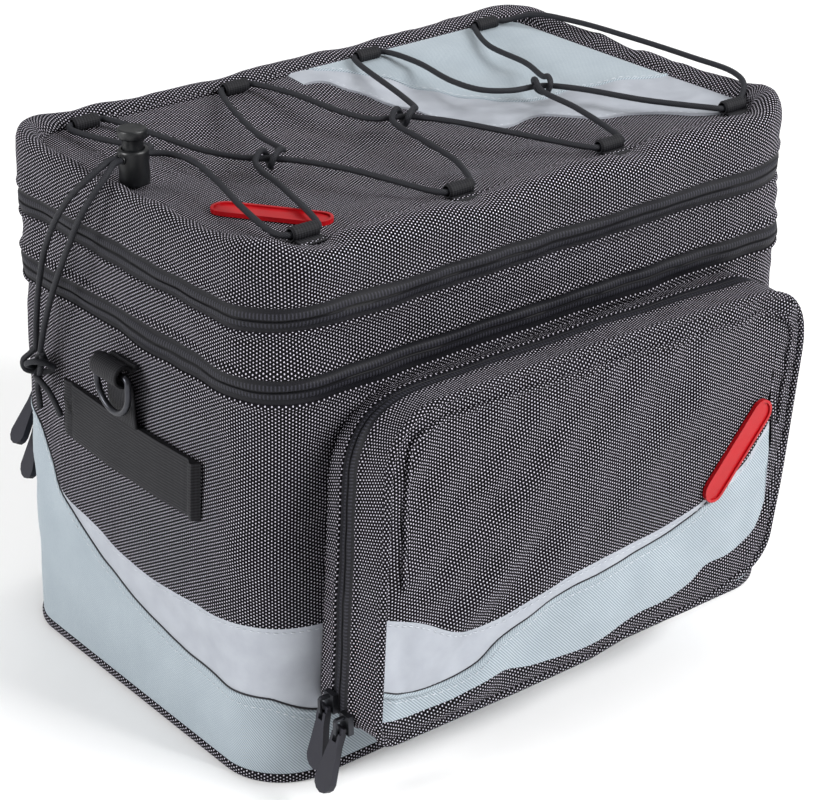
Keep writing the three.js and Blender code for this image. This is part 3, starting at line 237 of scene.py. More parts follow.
class Pattern:
    """The pattern maths of one material, in millimetres along its own UV map."""

    def __init__(self, name: str) -> None:
        """Make the material and split its UV map."""
        self.material = bpy.data.materials.new(name)
        self.material.use_nodes = True
        self.tree = self.material.node_tree
        self.shader = self.tree.nodes["Principled BSDF"]
        uv = add_node(self.tree, "ShaderNodeUVMap", uv_map=UV_NAME)
        split = add_node(self.tree, "ShaderNodeSeparateXYZ", {0: uv.outputs[0]})
        self.uv = uv.outputs[0]
        self.x = split.outputs[0]
        self.y = split.outputs[1]

    def math(self, operation: str, a: Value, b: Value = 0.0, c: Value = 0.0) -> Socket:
        """Add a math node and return its result."""
        return add_node(self.tree, "ShaderNodeMath", {0: a, 1: b, 2: c}, operation=operation).outputs[0]

    def ramp(self, value: Value, low: float, high: float, start: float = 0.0, end: float = 1.0) -> Socket:
        """Map a value smoothly from one range to another."""
        node = add_node(self.tree, "ShaderNodeMapRange", {0: value, 1: low, 2: high, 3: start, 4: end},
                        interpolation_type="SMOOTHSTEP")
        return node.outputs[0]

    def noise(self, scale: float, detail: float = 3.0, source: Socket | None = None) -> Socket:
        """Add cloudy noise whose features are about 1/scale millimetres wide."""
        node = add_node(self.tree, "ShaderNodeTexNoise",
                        {"Vector": source or self.uv, "Scale": scale, "Detail": detail})
        return node.outputs[0]

    def stripes(self, value: Value, pitch: float) -> Socket:
        """Return soft stripes between 0 and 1 along a value."""
        turned = self.math("SINE", self.math("MULTIPLY", value, 2 * math.pi / pitch))
        return self.math("MULTIPLY_ADD", turned, 0.5, 0.5)

    def lattice(self, pitch_x: float, pitch_y: float, radius: float) -> Socket:
        """Return round dots on a staggered lattice, 1 on a dot and 0 beside it."""
        across = self.math("DIVIDE", self.x, pitch_x)
        up = self.math("DIVIDE", self.y, pitch_y)
        da = self.math("SUBTRACT", self.math("FRACT", self.math("ADD", across, up)), 0.5)
        db = self.math("SUBTRACT", self.math("FRACT", self.math("SUBTRACT", across, up)), 0.5)
        dx = self.math("MULTIPLY", self.math("ADD", da, db), pitch_x / 2)
        dy = self.math("MULTIPLY", self.math("SUBTRACT", da, db), pitch_y / 2)
        square = self.math("ADD", self.math("MULTIPLY", dx, dx), self.math("MULTIPLY", dy, dy))
        return self.ramp(self.math("SQRT", square), radius * 0.8, radius * 1.2, 1.0, 0.0)

    def blend(self, factor: Value, a: Colour, b: Colour) -> Socket:
        """Mix two colours, each a hex string or a socket."""
        node = add_node(self.tree, "ShaderNodeMix", {0: factor}, data_type="RGBA")
        for socket, value in ((node.inputs[6], a), (node.inputs[7], b)):
            if isinstance(value, str):
                socket.default_value = linear(value)
            else:
                self.tree.links.new(value, socket)
        return node.outputs[2]

    def finish(self, colour: Colour, roughness: Value, height: Socket | None = None, depth: float = 0.1,
               **sockets: float) -> bpy.types.Material:
        """Set the shader.

        Args:
            colour: Base colour, a hex string or a socket.
            roughness: A number or a socket.
            height: A socket between 0 and 1 that raises the surface.
            depth: How many millimetres that is.
            **sockets: Other shader inputs by name, with underscores for spaces.

        Returns:
            The finished material.
        """
        base = self.shader.inputs["Base Color"]
        if isinstance(colour, str):
            base.default_value = linear(colour)
        else:
            self.tree.links.new(colour, base)
        if isinstance(roughness, float):
            self.shader.inputs["Roughness"].default_value = roughness
        else:
            self.tree.links.new(roughness, self.shader.inputs["Roughness"])
        if height is not None:
            bump = add_node(self.tree, "ShaderNodeBump", {"Strength": 0.6, "Distance": depth * MM, "Height": height})
            self.tree.links.new(bump.outputs[0], self.shader.inputs["Normal"])
        for name, value in ({"Specular_IOR_Level": 0.18} | sockets).items():
            self.shader.inputs[name.replace("_", " ")].default_value = value
        return self.material


@dataclass(frozen=True)
class Finishes:
    """Every material of the bag."""

    black: bpy.types.Material
    tape: bpy.types.Material
    webbing: bpy.types.Material
    cord: bpy.types.Material
    grey: bpy.types.Material
    silver: bpy.types.Material
    thread: bpy.types.Material
    dark_thread_and_groove_shade: bpy.types.Material
    moulding: bpy.types.Material
    metal: bpy.types.Material
    pull: bpy.types.Material
    badge: bpy.types.Material
    floor: bpy.types.Material


def black_polyester() -> bpy.types.Material:
    """Black woven polyester with pale dots on a staggered lattice."""
    p = Pattern("black_dotted_polyester")
    dots = p.lattice(3.0, 1.75, 0.325)
    weave = p.math("MULTIPLY", p.stripes(p.x, 0.5), p.stripes(p.y, 0.4))
    cloudy = p.noise(0.05, 3.0)
    dark = p.blend(p.ramp(cloudy, 0.35, 0.7), "#070609", "#0d0c10")
    light = p.blend(p.noise(0.4, 2.0), "#948f9b", "#dedae6")
    height = p.math("MULTIPLY_ADD", dots, 0.8, p.math("MULTIPLY", weave, 0.2))
    return p.finish(p.blend(dots, dark, light), 0.85, height, 0.12, Specular_IOR_Level=0.1)


def woven_tape() -> bpy.types.Material:
    """Fine black zip tape with a row of ladder stitches beside its slit, and painted shade darkening the slit."""
    p = Pattern("woven_zip_tape")
    off = p.math("ABSOLUTE", p.math("SUBTRACT", p.y, ZIP_TAPE / 2))
    beside = p.math("MULTIPLY", p.ramp(off, 0.8, 1.2), p.ramp(off, 3.2, 3.7, 1.0, 0.0))
    ladder = p.math("MULTIPLY", beside, p.ramp(p.stripes(p.x, 1.7), 0.5, 0.8))
    weave = p.math("MULTIPLY", p.stripes(p.x, 0.7), p.stripes(p.y, 0.5))
    base = p.blend(weave, "#0b0b0f", "#1c1c22")
    # darker along the slit: painted shade in the gap where the two tapes meet
    slit = p.ramp(off, 0.25, 0.5)
    shaded = p.blend(slit, "#050506", p.blend(p.math("MULTIPLY", ladder, 0.5), base, "#3c3c46"))
    return p.finish(shaded, 0.6, p.math("ADD", p.math("MULTIPLY", weave, 0.4), ladder), 0.12)


def ribbed_webbing() -> bpy.types.Material:
    """Black polypropylene webbing with ribs across it."""
    p = Pattern("ribbed_webbing")
    ribs = p.stripes(p.y, 1.5)
    fill = p.stripes(p.x, 0.9)
    height = p.math("MULTIPLY_ADD", ribs, 0.7, p.math("MULTIPLY", fill, 0.3))
    return p.finish(p.blend(height, "#08080a", "#232327"), 0.62, height, 0.35)


def braided_elastic() -> bpy.types.Material:
    """Black elastic cord in a fine braided sheath."""
    p = Pattern("braided_elastic")
    one = p.stripes(p.math("ADD", p.x, p.y), 1.1)
    two = p.stripes(p.math("SUBTRACT", p.x, p.y), 1.1)
    height = p.math("MAXIMUM", one, two)
    return p.finish(p.blend(height, "#0a0a0c", "#25262b"), 0.55, height, 0.25)


def grey_polyester() -> bpy.types.Material:
    """Grey woven polyester with a fine diagonal rib."""
    p = Pattern("grey_ribbed_polyester")
    rib = p.stripes(p.math("ADD", p.x, p.math("MULTIPLY", p.y, 0.9)), 1.5)
    fill = p.stripes(p.math("SUBTRACT", p.x, p.y), 1.0)
    height = p.math("MULTIPLY_ADD", rib, 0.75, p.math("MULTIPLY", fill, 0.25))
    cloudy = p.blend(p.noise(0.04, 3.0), "#9aa4ab", "#b4bdc3")
    return p.finish(p.blend(height, "#68737b", cloudy), 0.7, height, 0.14, Sheen_Weight=0.1)


def silver_reflective() -> bpy.types.Material:
    """Smooth silver reflective cloth with a faint sheen and soft mottling."""
    p = Pattern("silver_reflective_cloth")
    mottle = p.noise(0.09, 4.0)
    fine = p.noise(2.2, 2.0)
    colour = p.blend(mottle, "#8e929a", "#a8acb3")
    rough = p.ramp(mottle, 0.2, 0.8, 0.4, 0.55)
    return p.finish(colour, rough, fine, 0.05, Metallic=0.25)


def plain(name: str, light: str, dark: str, roughness: float, grain: float, **sockets: float) -> bpy.types.Material:
    """Make a moulded or spun material with a fine grain of its own.

    Args:
        name: The material's name.
        light: Its lighter colour.
        dark: Its darker colour.
        roughness: Its mean roughness.
        grain: How many grains there are to a metre.
        **sockets: Other shader inputs by name.

    Returns:
        The material.
    """
    p = Pattern(name)
    place = add_node(p.tree, "ShaderNodeTexCoord").outputs["Object"]
    speckle = p.noise(grain, 3.0, place)
    wide = p.noise(grain / 14, 2.0, place)
    colour = p.blend(wide, dark, light)
    rough = p.ramp(wide, 0.2, 0.8, roughness - 0.07, roughness + 0.07)
    return p.finish(colour, rough, speckle, 0.05, **sockets)


def make_finishes() -> Finishes:
    """Make every material once."""
    return Finishes(
        black=black_polyester(),
        tape=woven_tape(),
        webbing=ribbed_webbing(),
        cord=braided_elastic(),
        grey=grey_polyester(),
        silver=silver_reflective(),
        # White polyester sewing thread
        thread=plain("white_sewing_thread", "#c6cad0", "#a6abb2", 0.6, 3000),
        # Black polyester sewing thread, also the thin dark lines of painted shade along the seam grooves
        dark_thread_and_groove_shade=plain("black_thread_and_groove_shade", "#2a2a2e", "#18181b", 0.6, 3000),
        # Moulded acetal with a fine spark-eroded skin
        moulding=plain("moulded_black_plastic", "#101214", "#0b0c0e", 0.4, 2500, Specular_IOR_Level=0.4),
        # Dark coated steel
        metal=plain("dark_coated_metal", "#4a4b50", "#2a2b2f", 0.34, 1800, Metallic=0.85),
        # Soft grey elastomer of the zip pulls
        pull=plain("soft_grey_elastomer", "#2c2c33", "#232329", 0.55, 2600),
        # Red gloss moulding
        badge=plain("red_moulded_badge", "#a30a14", "#93070f", 0.38, 1500, Coat_Weight=0.15),
        floor=plain("pale_studio_floor", "#f6f6f6", "#f1f1f1", 0.8, 40),
    )


# Meshes


def make_object(name: str, points: Sequence[Vector], faces: Sequence[Sequence[int]],
                uvs: Sequence[tuple[float, float]], material: bpy.types.Material,
                sharp: float = SOFT_EDGE) -> bpy.types.Object:
    """Make a smooth-shaded object.

    Args:
        name: The object's name.
        points: Its vertices in millimetres.
        faces: Its faces, as vertex numbers.
        uvs: One UV in millimetres for each vertex.
        material: Its material.
        sharp: The angle in degrees above which an edge stays crisp.

    Returns:
        The new object, linked into the scene.
    """
    mesh = bpy.data.meshes.new(name)
    mesh.from_pydata([p * MM for p in points], [], faces)
    layer = mesh.uv_layers.new(name=UV_NAME)
    for loop in mesh.loops:
        layer.data[loop.index].uv = uvs[loop.vertex_index]
    mesh.polygons.foreach_set("use_smooth", [True] * len(mesh.polygons))
    mesh.set_sharp_from_angle(angle=math.radians(sharp))
    mesh.materials.append(material)
    mesh.update()
    made = bpy.data.objects.new(name, mesh)
    bpy.context.scene.collection.objects.link(made)
    return made


def sheet(name: str, grid: Grid, uvs: Uvs, material: bpy.types.Material, flip: bool = False,
          sharp: float = SOFT_EDGE) -> bpy.types.Object:
    """Make a sheet from columns of points.

    Args:
        name: The object's name.
        grid: Its columns of points.
        uvs: A UV for each point.
        material: Its material.
        flip: Whether it faces the other way.
        sharp: The angle above which an edge stays crisp.

    Returns:
        The new object.
    """
    rows = len(grid[0])
    faces = []
    for i in range(len(grid) - 1):
        for j in range(rows - 1):
            a, b = i * rows + j, (i + 1) * rows + j
            faces.append((a, a + 1, b + 1, b) if flip else (a, b, b + 1, a + 1))
    points = [p for column in grid for p in column]
    flat = [uv for column in uvs for uv in column]
    return make_object(name, points, faces, flat, material, sharp)


def smooth_route(points: Sequence[Sequence[float]], steps: int) -> list[Vector]:
    """Return a centripetal Catmull-Rom curve through the points."""
    knots = [Vector(p) for p in points]
    knots = [2 * knots[0] - knots[1]] + knots + [2 * knots[-1] - knots[-2]]
    out: list[Vector] = []
    for i in range(1, len(knots) - 2):
        p0, p1, p2, p3 = knots[i - 1 : i + 3]
        t1 = max((p1 - p0).length, 1e-3) ** 0.5
        t2 = t1 + max((p2 - p1).length, 1e-3) ** 0.5
        t3 = t2 + max((p3 - p2).length, 1e-3) ** 0.5
        for k in range(steps):
            t = mix(t1, t2, k / steps)
            a1 = p0 * ((t1 - t) / t1) + p1 * (t / t1)
            a2 = p1 * ((t2 - t) / (t2 - t1)) + p2 * ((t - t1) / (t2 - t1))
            a3 = p2 * ((t3 - t) / (t3 - t2)) + p3 * ((t - t2) / (t3 - t2))
            b1 = a1 * ((t2 - t) / t2) + a2 * (t / t2)
            b2 = a2 * ((t3 - t) / (t3 - t1)) + a3 * ((t - t1) / (t3 - t1))
            out.append(b1 * ((t2 - t) / (t2 - t1)) + b2 * ((t - t1) / (t2 - t1)))
    out.append(knots[-2])
    return out


def tube(name: str, path: Sequence[Vector], radius: float, material: bpy.types.Material, sides: int = 14,
         closed: bool = False) -> bpy.types.Object:
    """Make a round tube.

    Args:
        name: The object's name.
        path: The points along its middle.
        radius: Its radius.
        material: Its material.
        sides: How many sides it has.
        closed: Whether the path is a loop; otherwise the ends are capped.

    Returns:
        The new object.
    """
    line = list(path)
    if closed:
        line.append(line[0])
    count = len(line)
    tangents = []
    for i in range(count):
        before = line[i - 1] if i else (line[-2] if closed else line[0])
        after = line[i + 1] if i + 1 < count else (line[1] if closed else line[-1])
        tangents.append((after - before).normalized())
    side = tangents[0].orthogonal().normalized()
    points: list[Vector] = []
    uvs: list[tuple[float, float]] = []
    run = 0.0
    for i, (place, tangent) in enumerate(zip(line, tangents)):
        side = (side - tangent * side.dot(tangent)).normalized()
        other = tangent.cross(side)
        if i:
            run += (place - line[i - 1]).length
        for k in range(sides + 1):
            angle = 2 * math.pi * k / sides
            points.append(place + (side * math.cos(angle) + other * math.sin(angle)) * radius)
            uvs.append((run, angle * radius))
    faces: list[tuple[int, ...]] = []
    for i in range(count - 1):
        for k in range(sides):
            a, b = i * (sides + 1) + k, (i + 1) * (sides + 1) + k
            faces.append((a, a + 1, b + 1, b))
    if not closed:
        faces.append(tuple(reversed(range(sides))))
        faces.append(tuple((count - 1) * (sides + 1) + k for k in range(sides)))
    return make_object(name, points, faces, uvs, material, CRISP_EDGE)


def turned(name: str, axis: tuple[float, float], profile: Sequence[tuple[float, float]],
           material: bpy.types.Material, sides: int = 48) -> bpy.types.Object:
    """Make a turned form.

    Args:
        name: The object's name.
        axis: Where its upright axis stands.
        profile: Radius and height, from the foot up.
        material: Its material.
        sides: How many sides it has.

    Returns:
        The new object.
    """
    grid: Grid = []
    uvs: Uvs = []
    for k in range(sides + 1):
        angle = 2 * math.pi * k / sides
        grid.append([Vector((axis[0] + r * math.cos(angle), axis[1] + r * math.sin(angle), z)) for r, z in profile])
        uvs.append([(angle * LOCK_RADIUS, z) for _, z in profile])
    return sheet(name, grid, uvs, material, sharp=50.0)


# A stitch's share along, rise and half width in thread widths
STITCH_FORM = ((0, -0.25, 0.3), (0.25, 0.28, 0.5), (0.75, 0.28, 0.5), (1, -0.25, 0.3))
STITCH_CROWN = 0.18


def stitches(name: str, path: Sequence[Vector], normals: Sequence[Vector], material: bpy.types.Material,
             length: float = 2.6, space: float = 1.3, width: float = 0.4) -> bpy.types.Object:
    """Make a row of sewn stitches.

    Args:
        name: The object's name.
        path: The points on the surface that it runs along.
        normals: The surface's direction at each of them.
        material: The thread.
        length: Length of a stitch.
        space: Distance between two stitches.
        width: Width of the thread.

    Returns:
        The new object.
    """
    points: list[Vector] = []
    faces: list[tuple[int, ...]] = []
    uvs: list[tuple[float, float]] = []
    marks = [0.0]
    for a, b in zip(path, path[1:]):
        marks.append(marks[-1] + (b - a).length)

    def at(distance: float) -> tuple[Vector, Vector]:
        """Return the path's point and normal at a distance along it."""
        i = 0
        while i < len(marks) - 2 and marks[i + 1] < distance:
            i += 1
        share = (distance - marks[i]) / max(marks[i + 1] - marks[i], 1e-6)
        return path[i].lerp(path[i + 1], share), normals[i].lerp(normals[i + 1], share)

    start = space
    while start + length < marks[-1]:
        base = len(points)
        for step, lift, half in STITCH_FORM:
            place, normal = at(start + length * step)
            ahead, _ = at(start + length * step + 0.2)
            across = (ahead - place).cross(normal).normalized()
            for offset, raised in ((-half, lift), (0, lift + STITCH_CROWN), (half, lift)):
                points.append(place + across * (offset * width) + normal * raised)
                uvs.append((start + length * step, offset))
        for i in range(3):
            for k in range(2):
                a = base + i * 3 + k
                faces.append((a, a + 1, a + 4, a + 3))
        start += length + space
    return make_object(name, points, faces, uvs, material, 80.0)


# The bag's plan


def along(turn: float) -> tuple[int, float]:
    """Return the side of the bag that a turn lies on, and the share along it."""
    whole = math.floor(turn + 1e-9)
    return whole % 4, turn - whole


def on_wall(turn: float, z: float, depth: float) -> Vector:
    """Return a point of the wall.

    Args:
        turn: 4 goes round the bag, from the front corner at the cord lock's end.
        z: Height.
        depth: Distance inwards from the outer face.

    Returns:
        The point, in millimetres.
    """
    side, share = along(turn)
    start, end = CORE_CORNERS[side], CORE_CORNERS[(side + 1) % 4]
    run = (share - CORNER_SHARE) / (1 - 2 * CORNER_SHARE)
    t = min(1.0, max(0.0, run))
    angle = (side - 1) * math.pi / 2
    if run < 0:
        angle -= math.pi / 4 * (1 - share / CORNER_SHARE)
    if run > 1:
        angle += math.pi / 4 * (1 - (1 - share) / CORNER_SHARE)
    reach = CORNER_RADIUS - depth
    if side % 2 == 1:
        reach += END_BULGE * math.sin(math.pi * min(1.0, z / EXPANSION_ZIP_HEIGHT)) * math.sin(math.pi * t)
    x = mix(start[0], end[0], t) + reach * math.cos(angle)
    y = mix(start[1], end[1], t) + reach * math.sin(angle)
    lean = read(LEAN, "level", "left" if x < 0 else "right", z / RIM_HEIGHT)
    return Vector((x * (1 - SLACK * lean / HALF_LENGTH), y, z))


def wall_normal(turn: float, z: float) -> Vector:
    """Return the wall's outward direction."""
    return (on_wall(turn, z, 0) - on_wall(turn, z, 6)).normalized()


def turns(start: float, end: float, step: float = 4.0) -> list[float]:
    """Return turns a few millimetres apart, denser round the corners."""
    out = [start]
    while out[-1] < end - 1e-6:
        side, share = along(out[-1] + 1e-6)
        straight = (2 * CORE_LENGTH if side % 2 == 0 else 2 * CORE_WIDTH) / (1 - 2 * CORNER_SHARE)
        in_corner = share < CORNER_SHARE or share > 1 - CORNER_SHARE
        pace = 0.01 if in_corner else step / straight
        out.append(min(end, out[-1] + pace))
    return out


def wave_height(turn: float) -> float:
    """Return the height of the grey panel's upper seam."""
    return WAVE_LOW + WAVE_RISE * read(WAVE, "turn", "rise", turn % 2)


def band_height(turn: float) -> float:
    """Return the reflective band's height above its piping."""
    return max(0.0, BAND_HEIGHT * read(WAVE, "turn", "band", turn % 2))


def piping_top(turn: float) -> float:
    """Return the top of the piping between the grey panel and what is above it."""
    return wave_height(turn) + PIPING


def band_top(turn: float) -> float:
    """Return the top of the reflective band."""
    return piping_top(turn) + band_height(turn)


def wall_softness(place: Vector) -> float:
    """Return how far the padded wall swells or dimples at a place, nothing at the base."""
    fade = smoothstep(8, 60, place.z)
    high = smoothstep(150, 200, place.z)
    creases = noise.noise(Vector((place.x / 48, place.y / 48, place.z / 11)))
    fine = noise.noise(Vector((place.x / 17, place.y / 17, place.z / 8 + 3)))
    return ruffle(place, 1.8 * fade) + high * (1.8 * creases + 0.7 * fine) - 0.4 * fade


def wall_skin(name: str, low: Height, high: Height, material: bpy.types.Material, span: tuple[float, float],
              profile: Profile | None, across: Sequence[float] | int) -> bpy.types.Object:
    """Make a stretch of the bag's outer wall.

    Args:
        name: The object's name.
        low: Height of its lower edge by turn.
        high: Height of its upper edge by turn.
        material: Its material.
        span: The turns it starts and ends at.
        profile: How far it stands out, by share across and by its height in millimetres.
        across: Shares across where the mesh has rows, or how many even ones.

    Returns:
        The new object.
    """
    shares = [k / across for k in range(across + 1)] if isinstance(across, int) else list(across)
    grid: Grid = []
    uvs: Uvs = []
    run = 0.0
    previous: Vector | None = None
    for turn in turns(*span):
        bottom, top = low(turn), high(turn)
        column = []
        marks = []
        here = on_wall(turn, (bottom + top) / 2, 0)
        run += (here - previous).length if previous is not None else 0.0
        previous = here
        for share in shares:
            z = mix(bottom, top, share)
            out = profile(share, top - bottom) if profile else 0.0
            plain_place = on_wall(turn, z, 0)
            out += wall_softness(plain_place)
            column.append(on_wall(turn, z, -out))
            marks.append((run, share * (top - bottom) if profile is zip_profile else z))
        first, last = column[0], column[-1]
        inward = -wall_normal(turn, bottom)
        column = [first + inward * (WALL * 0.8)] + column + [last + inward * (WALL * 0.8)]
        marks = [marks[0]] + marks + [marks[-1]]
        grid.append(column)
        uvs.append(marks)
    return sheet(name, grid, uvs, material, sharp=CRISP_EDGE if profile is zip_profile else SOFT_EDGE)


def zip_profile(share: float, height: float) -> float:
    """Stand the tape out over its coil, with a slit along the middle."""
    off = abs(share - 0.5) * height
    rise = 0.15 + 0.75 * (1 - smoothstep(2.9, 3.7, off))
    return rise - 0.8 * (1 - smoothstep(0.25, 0.6, off))


ZIP_ROWS = (0, 0.08, 0.15, 0.22, 0.28, 0.34, 0.42, 0.45, 0.475, 0.5, 0.525, 0.55, 0.58, 0.66, 0.72, 0.78, 0.85, 0.92, 1)


def level(height: float) -> Height:
    """Return an edge that runs level."""
    return lambda turn: height


def rounded(power: float) -> Profile:
    """Return the profile of a piping, fuller at a lower power."""
    return lambda share, height: 0.9 * math.sin(math.pi * share) ** power


def folded(at_low: bool, at_high: bool, size: float = 1.3, reach: float = 3.2) -> Profile:
    """Return a profile with turned folds of cloth.

    Args:
        at_low: Whether there is one along the lower edge.
        at_high: Whether there is one along the upper edge.
        size: How far a fold stands out.
        reach: How wide it is.

    Returns:
        The profile.
    """

    def profile(share: float, height: float) -> float:
        """Return how far the cloth stands out at a share of its height."""
        out = 0.0
        for wanted, off in ((at_low, share * height), (at_high, (1 - share) * height)):
            if wanted:
                out += size * math.exp(-(((off - 1.4) / (reach * 0.5)) ** 2))
                out -= 0.45 * math.exp(-(((off - reach - 1.2) / 0.9) ** 2))
        return out

    return profile


def fine_edges(height: float, at_low: bool, at_high: bool, pace: float = 6.0) -> list[float]:
    """Return shares across a strip, close together where its edges are folded."""
    marks = [0.0]
    near = [0.5, 1.0, 1.5, 2.1, 2.8, 3.5, 4.2, 5.0, 6.5]
    if at_low:
        marks += near
    end = height - (near[-1] if at_high else 0)
    count = max(1, round((end - marks[-1]) / pace))
    start = marks[-1]
    marks += [mix(start, end, k / count) for k in range(1, count + 1)]
    if at_high:
        marks += [height - m for m in reversed(near[:-1])] + [height]
    return [m / height for m in marks]


def pair_up(piece: bpy.types.Object, slot: Slot, *nodes: str, body: str = "bag") -> bpy.types.Object:
    """Tie a new piece to the CAD part.

    Args:
        piece: The new piece.
        slot: The record's slot for the piece; not used.
        *nodes: The CAD nodes that it stands for.
        body: The body that it rides on.

    Returns:
        The piece.
    """
    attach(piece, body)
    if nodes:
        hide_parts(*nodes)
    return piece


@dataclass
class Body:
    """The walls of the main box, from the base binding to the lid's zip."""

    finishes: Finishes

    def build(self) -> None:
        """Make every skin of the box and its topstitching."""
        f = self.finishes
        zip_foot, zip_top = (level(EXPANSION_ZIP_HEIGHT + half) for half in (-ZIP_TAPE / 2, ZIP_TAPE / 2))
        lid_foot, lid_top = (level(LID_ZIP_HEIGHT + half) for half in (-ZIP_TAPE / 2, ZIP_TAPE / 2))
        collar = LID_ZIP_HEIGHT - EXPANSION_ZIP_HEIGHT - ZIP_TAPE
        binding = level(BINDING_HEIGHT)
        bands = [
            (f"band_{end}", f"reflective_band_{end}", f.silver, Slot.SILVER, piping_top, band_top,
             (BAND_FROM + lap, BAND_TO + lap), None, 8)
            for end, lap in BAG_ENDS
        ]
        strips = (
            ("bag_binding", "base_binding", f.black, Slot.BLACK, level(0.0), binding, WHOLE, rounded(0.5), 8),
            ("bag_grey_panel", "grey_bottom_panel", f.grey, Slot.GREY, binding, wave_height, WHOLE, None, 14),
            ("bag_piping", "body_piping", f.grey, Slot.GREY, wave_height, piping_top, WHOLE, rounded(0.7), 6),
            *bands,
            ("bag_wall", "body_wall", f.black, Slot.BLACK, band_top, zip_foot, WHOLE, folded(False, True),
             fine_edges(WALL_SPREAD, False, True)),
            ("bag_expansion_zip", "expansion_zip", f.tape, Slot.TAPE, zip_foot, zip_top, WHOLE, zip_profile, ZIP_ROWS),
            ("bag_collar", "expansion_collar", f.black, Slot.BLACK, zip_top, lid_foot, WHOLE, folded(True, True),
             fine_edges(collar, True, True, 3.0)),
            ("bag_lid_zip", "lid_zip", f.tape, Slot.TAPE, lid_foot, lid_top, LID_ZIP_SPAN, zip_profile, ZIP_ROWS),
            ("bag_lid_hinge", "lid_hinge", f.black, Slot.BLACK, lid_foot, lid_top, HINGE_SPAN, None, 4),
        )
        for name, node, material, slot, low, high, span, profile, across in strips:
            pair_up(wall_skin(name, low, high, material, span, profile, across), slot, node)
        self._stitching()
        # A thin dark tube along the top of the piping: painted shade, standing in for the shadow in the seam's groove.
        groove_shade_line = [on_wall(t, piping_top(t) + 0.3, -0.1 - wall_softness(on_wall(t, piping_top(t), 0)))
                  for t in turns(*WHOLE, 3.0)]
        pair_up(tube("bag_piping_groove_shade", groove_shade_line[:-1], 0.5, f.dark_thread_and_groove_shade, 6, True), Slot.GREY)
        self._floor()

    def _stitching(self) -> None:
        """Sew along the tops of the grey panel and the reflective bands."""
        f = self.finishes

        def line(height: Height, span: tuple[float, float]) -> tuple[list[Vector], list[Vector]]:
            """Return a line on the soft wall, with its normals."""
            path, normals = [], []
            for turn in turns(*span, 3.0):
                z = height(turn)
                place = on_wall(turn, z, 0)
                path.append(on_wall(turn, z, -wall_softness(place)))
                normals.append(wall_normal(turn, z))
            return path, normals

        seams = [("stitches_grey_panel", lambda t: wave_height(t) - PANEL_SEAM, WHOLE)]
        for end, lap in BAG_ENDS:
            span = (BAND_SEWN_FROM + lap, BAND_SEWN_TO + lap)
            seams.append((f"stitches_band_{end}", lambda t: band_top(t) - BAND_SEAM, span))
        for name, height, span in seams:
            path, normals = line(height, span)
            pair_up(stitches(name, path, normals, f.thread), Slot.GREY)

    def _floor(self) -> None:
        """Dress the CAD part's own floor panel."""
        dress("floor_panel", self.finishes.black)


def dress(node: str, material: bpy.types.Material, bevel: float = 0.0) -> bpy.types.Object:
    """Give a CAD node a material, and soften its edges with a bevel.

    Args:
        node: The CAD node's name.
        material: Its new material.
        bevel: Width of the bevel in millimetres, or 0 for none.

    Returns:
        The node's object.
    """
    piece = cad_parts[node]
    if not piece.material_slots:
        piece.data.materials.append(material)
    for slot in piece.material_slots:
        slot.link = "OBJECT"
        slot.material = material
    if bevel:
        modifier = piece.modifiers.new("soft_edges", "BEVEL")
        modifier.width = bevel * MM
        modifier.segments = 3
        modifier.limit_method = "ANGLE"
        modifier.angle_limit = math.radians(28)
        modifier.harden_normals = False
    return piece


# Lid


def rim_at(turn: float) -> tuple[float, float]:
    """Return the rolled rim's width and the height of its top."""
    side, share = along(turn)
    to_corner = min(share, 1 - share)
    near = RIM_WIDTHS[(side + 3) % 4] if share < 0.5 else RIM_WIDTHS[(side + 1) % 4]
    blend = smoothstep(0, 2.6 * CORNER_SHARE, to_corner)
    width = mix((near + RIM_WIDTHS[side]) / 2, RIM_WIDTHS[side], blend)
    return width, RIM_HEIGHT + RIM_CORNER_LIFT * (1 - smoothstep(0, 2.6 * CORNER_SHARE, to_corner))


def panel_height(x: float, y: float) -> float:
    """Return the height of the sunken lid panel."""
    crown = max(0.0, 1 - (x / HALF_LENGTH) ** 2) * max(0.0, 1 - (y / HALF_WIDTH) ** 2)
    return RIM_HEIGHT - SEAM_DROP - PANEL_SAG * crown


RIM_SECTION = rows(
    "at across up",
    (0, 0, 0), (0.25, -0.05, 0.45), (0.45, 0.02, 0.8), (0.6, 0.25, 0.97), (0.8, 0.6, 1), (0.93, 0.92, 0.94),
    (1, 1.08, 0.87),
)

LID_COLOUR_EDGES = rows(
    "x silver grey",
    (0.03, 0.76, 0.92), (0.11, 0.7, 0.87), (0.2, 0.36, 0.76), (0.26, -0.04, 0.65), (0.33, -0.13, 0.46),
    (0.46, -0.15, 0.1), (0.56, -0.35, 0.03), (0.67, -0.45, -0.03), (0.77, -0.72, -0.11),
    (0.9, -0.78, -0.23),
)


def sleeve_dent(x: float, y: float) -> float:
    """Return how deep the laces pull the rim down beside their sleeves."""
    side = "front" if y < 0 else "back"
    reach = smoothstep(60, 84, abs(y))
    return reach * sum(math.exp(-(((x - place) / 13) ** 2)) for place in SLEEVES[side])


PATCH_LIFT = 1.2
PATCH_TUCK = 1.8
PANEL_DROP = 3.8
BADGE_PLACE = (-115.0, -55.0)


def panel_relief(x: float, y: float) -> Vector:
    """Return a point of the lid's panel with its soft dimples."""
    inner = min(HALF_LENGTH - 12 - abs(x), HALF_WIDTH - 13 - abs(y) - (8 if y < 0 else 0))
    fade = smoothstep(0, 34, inner)
    along_fold, across_fold = (x * 0.86 + y * 0.5) / 58, (y * 0.86 - x * 0.5) / 15
    creases = 1.5 * noise.noise(Vector((along_fold, across_fold, 2.0)))
    held = 1 - 0.9 * math.exp(-(((x - BADGE_PLACE[0]) ** 2 + (y - BADGE_PLACE[1]) ** 2) / 1600))
    drop = PANEL_DROP * smoothstep(8, 60, inner)
    z = panel_height(x, y) + held * (fade * (creases + ruffle(Vector((x, y, 0)), 1.6, 34)) - drop)
    return Vector((x, y, z))


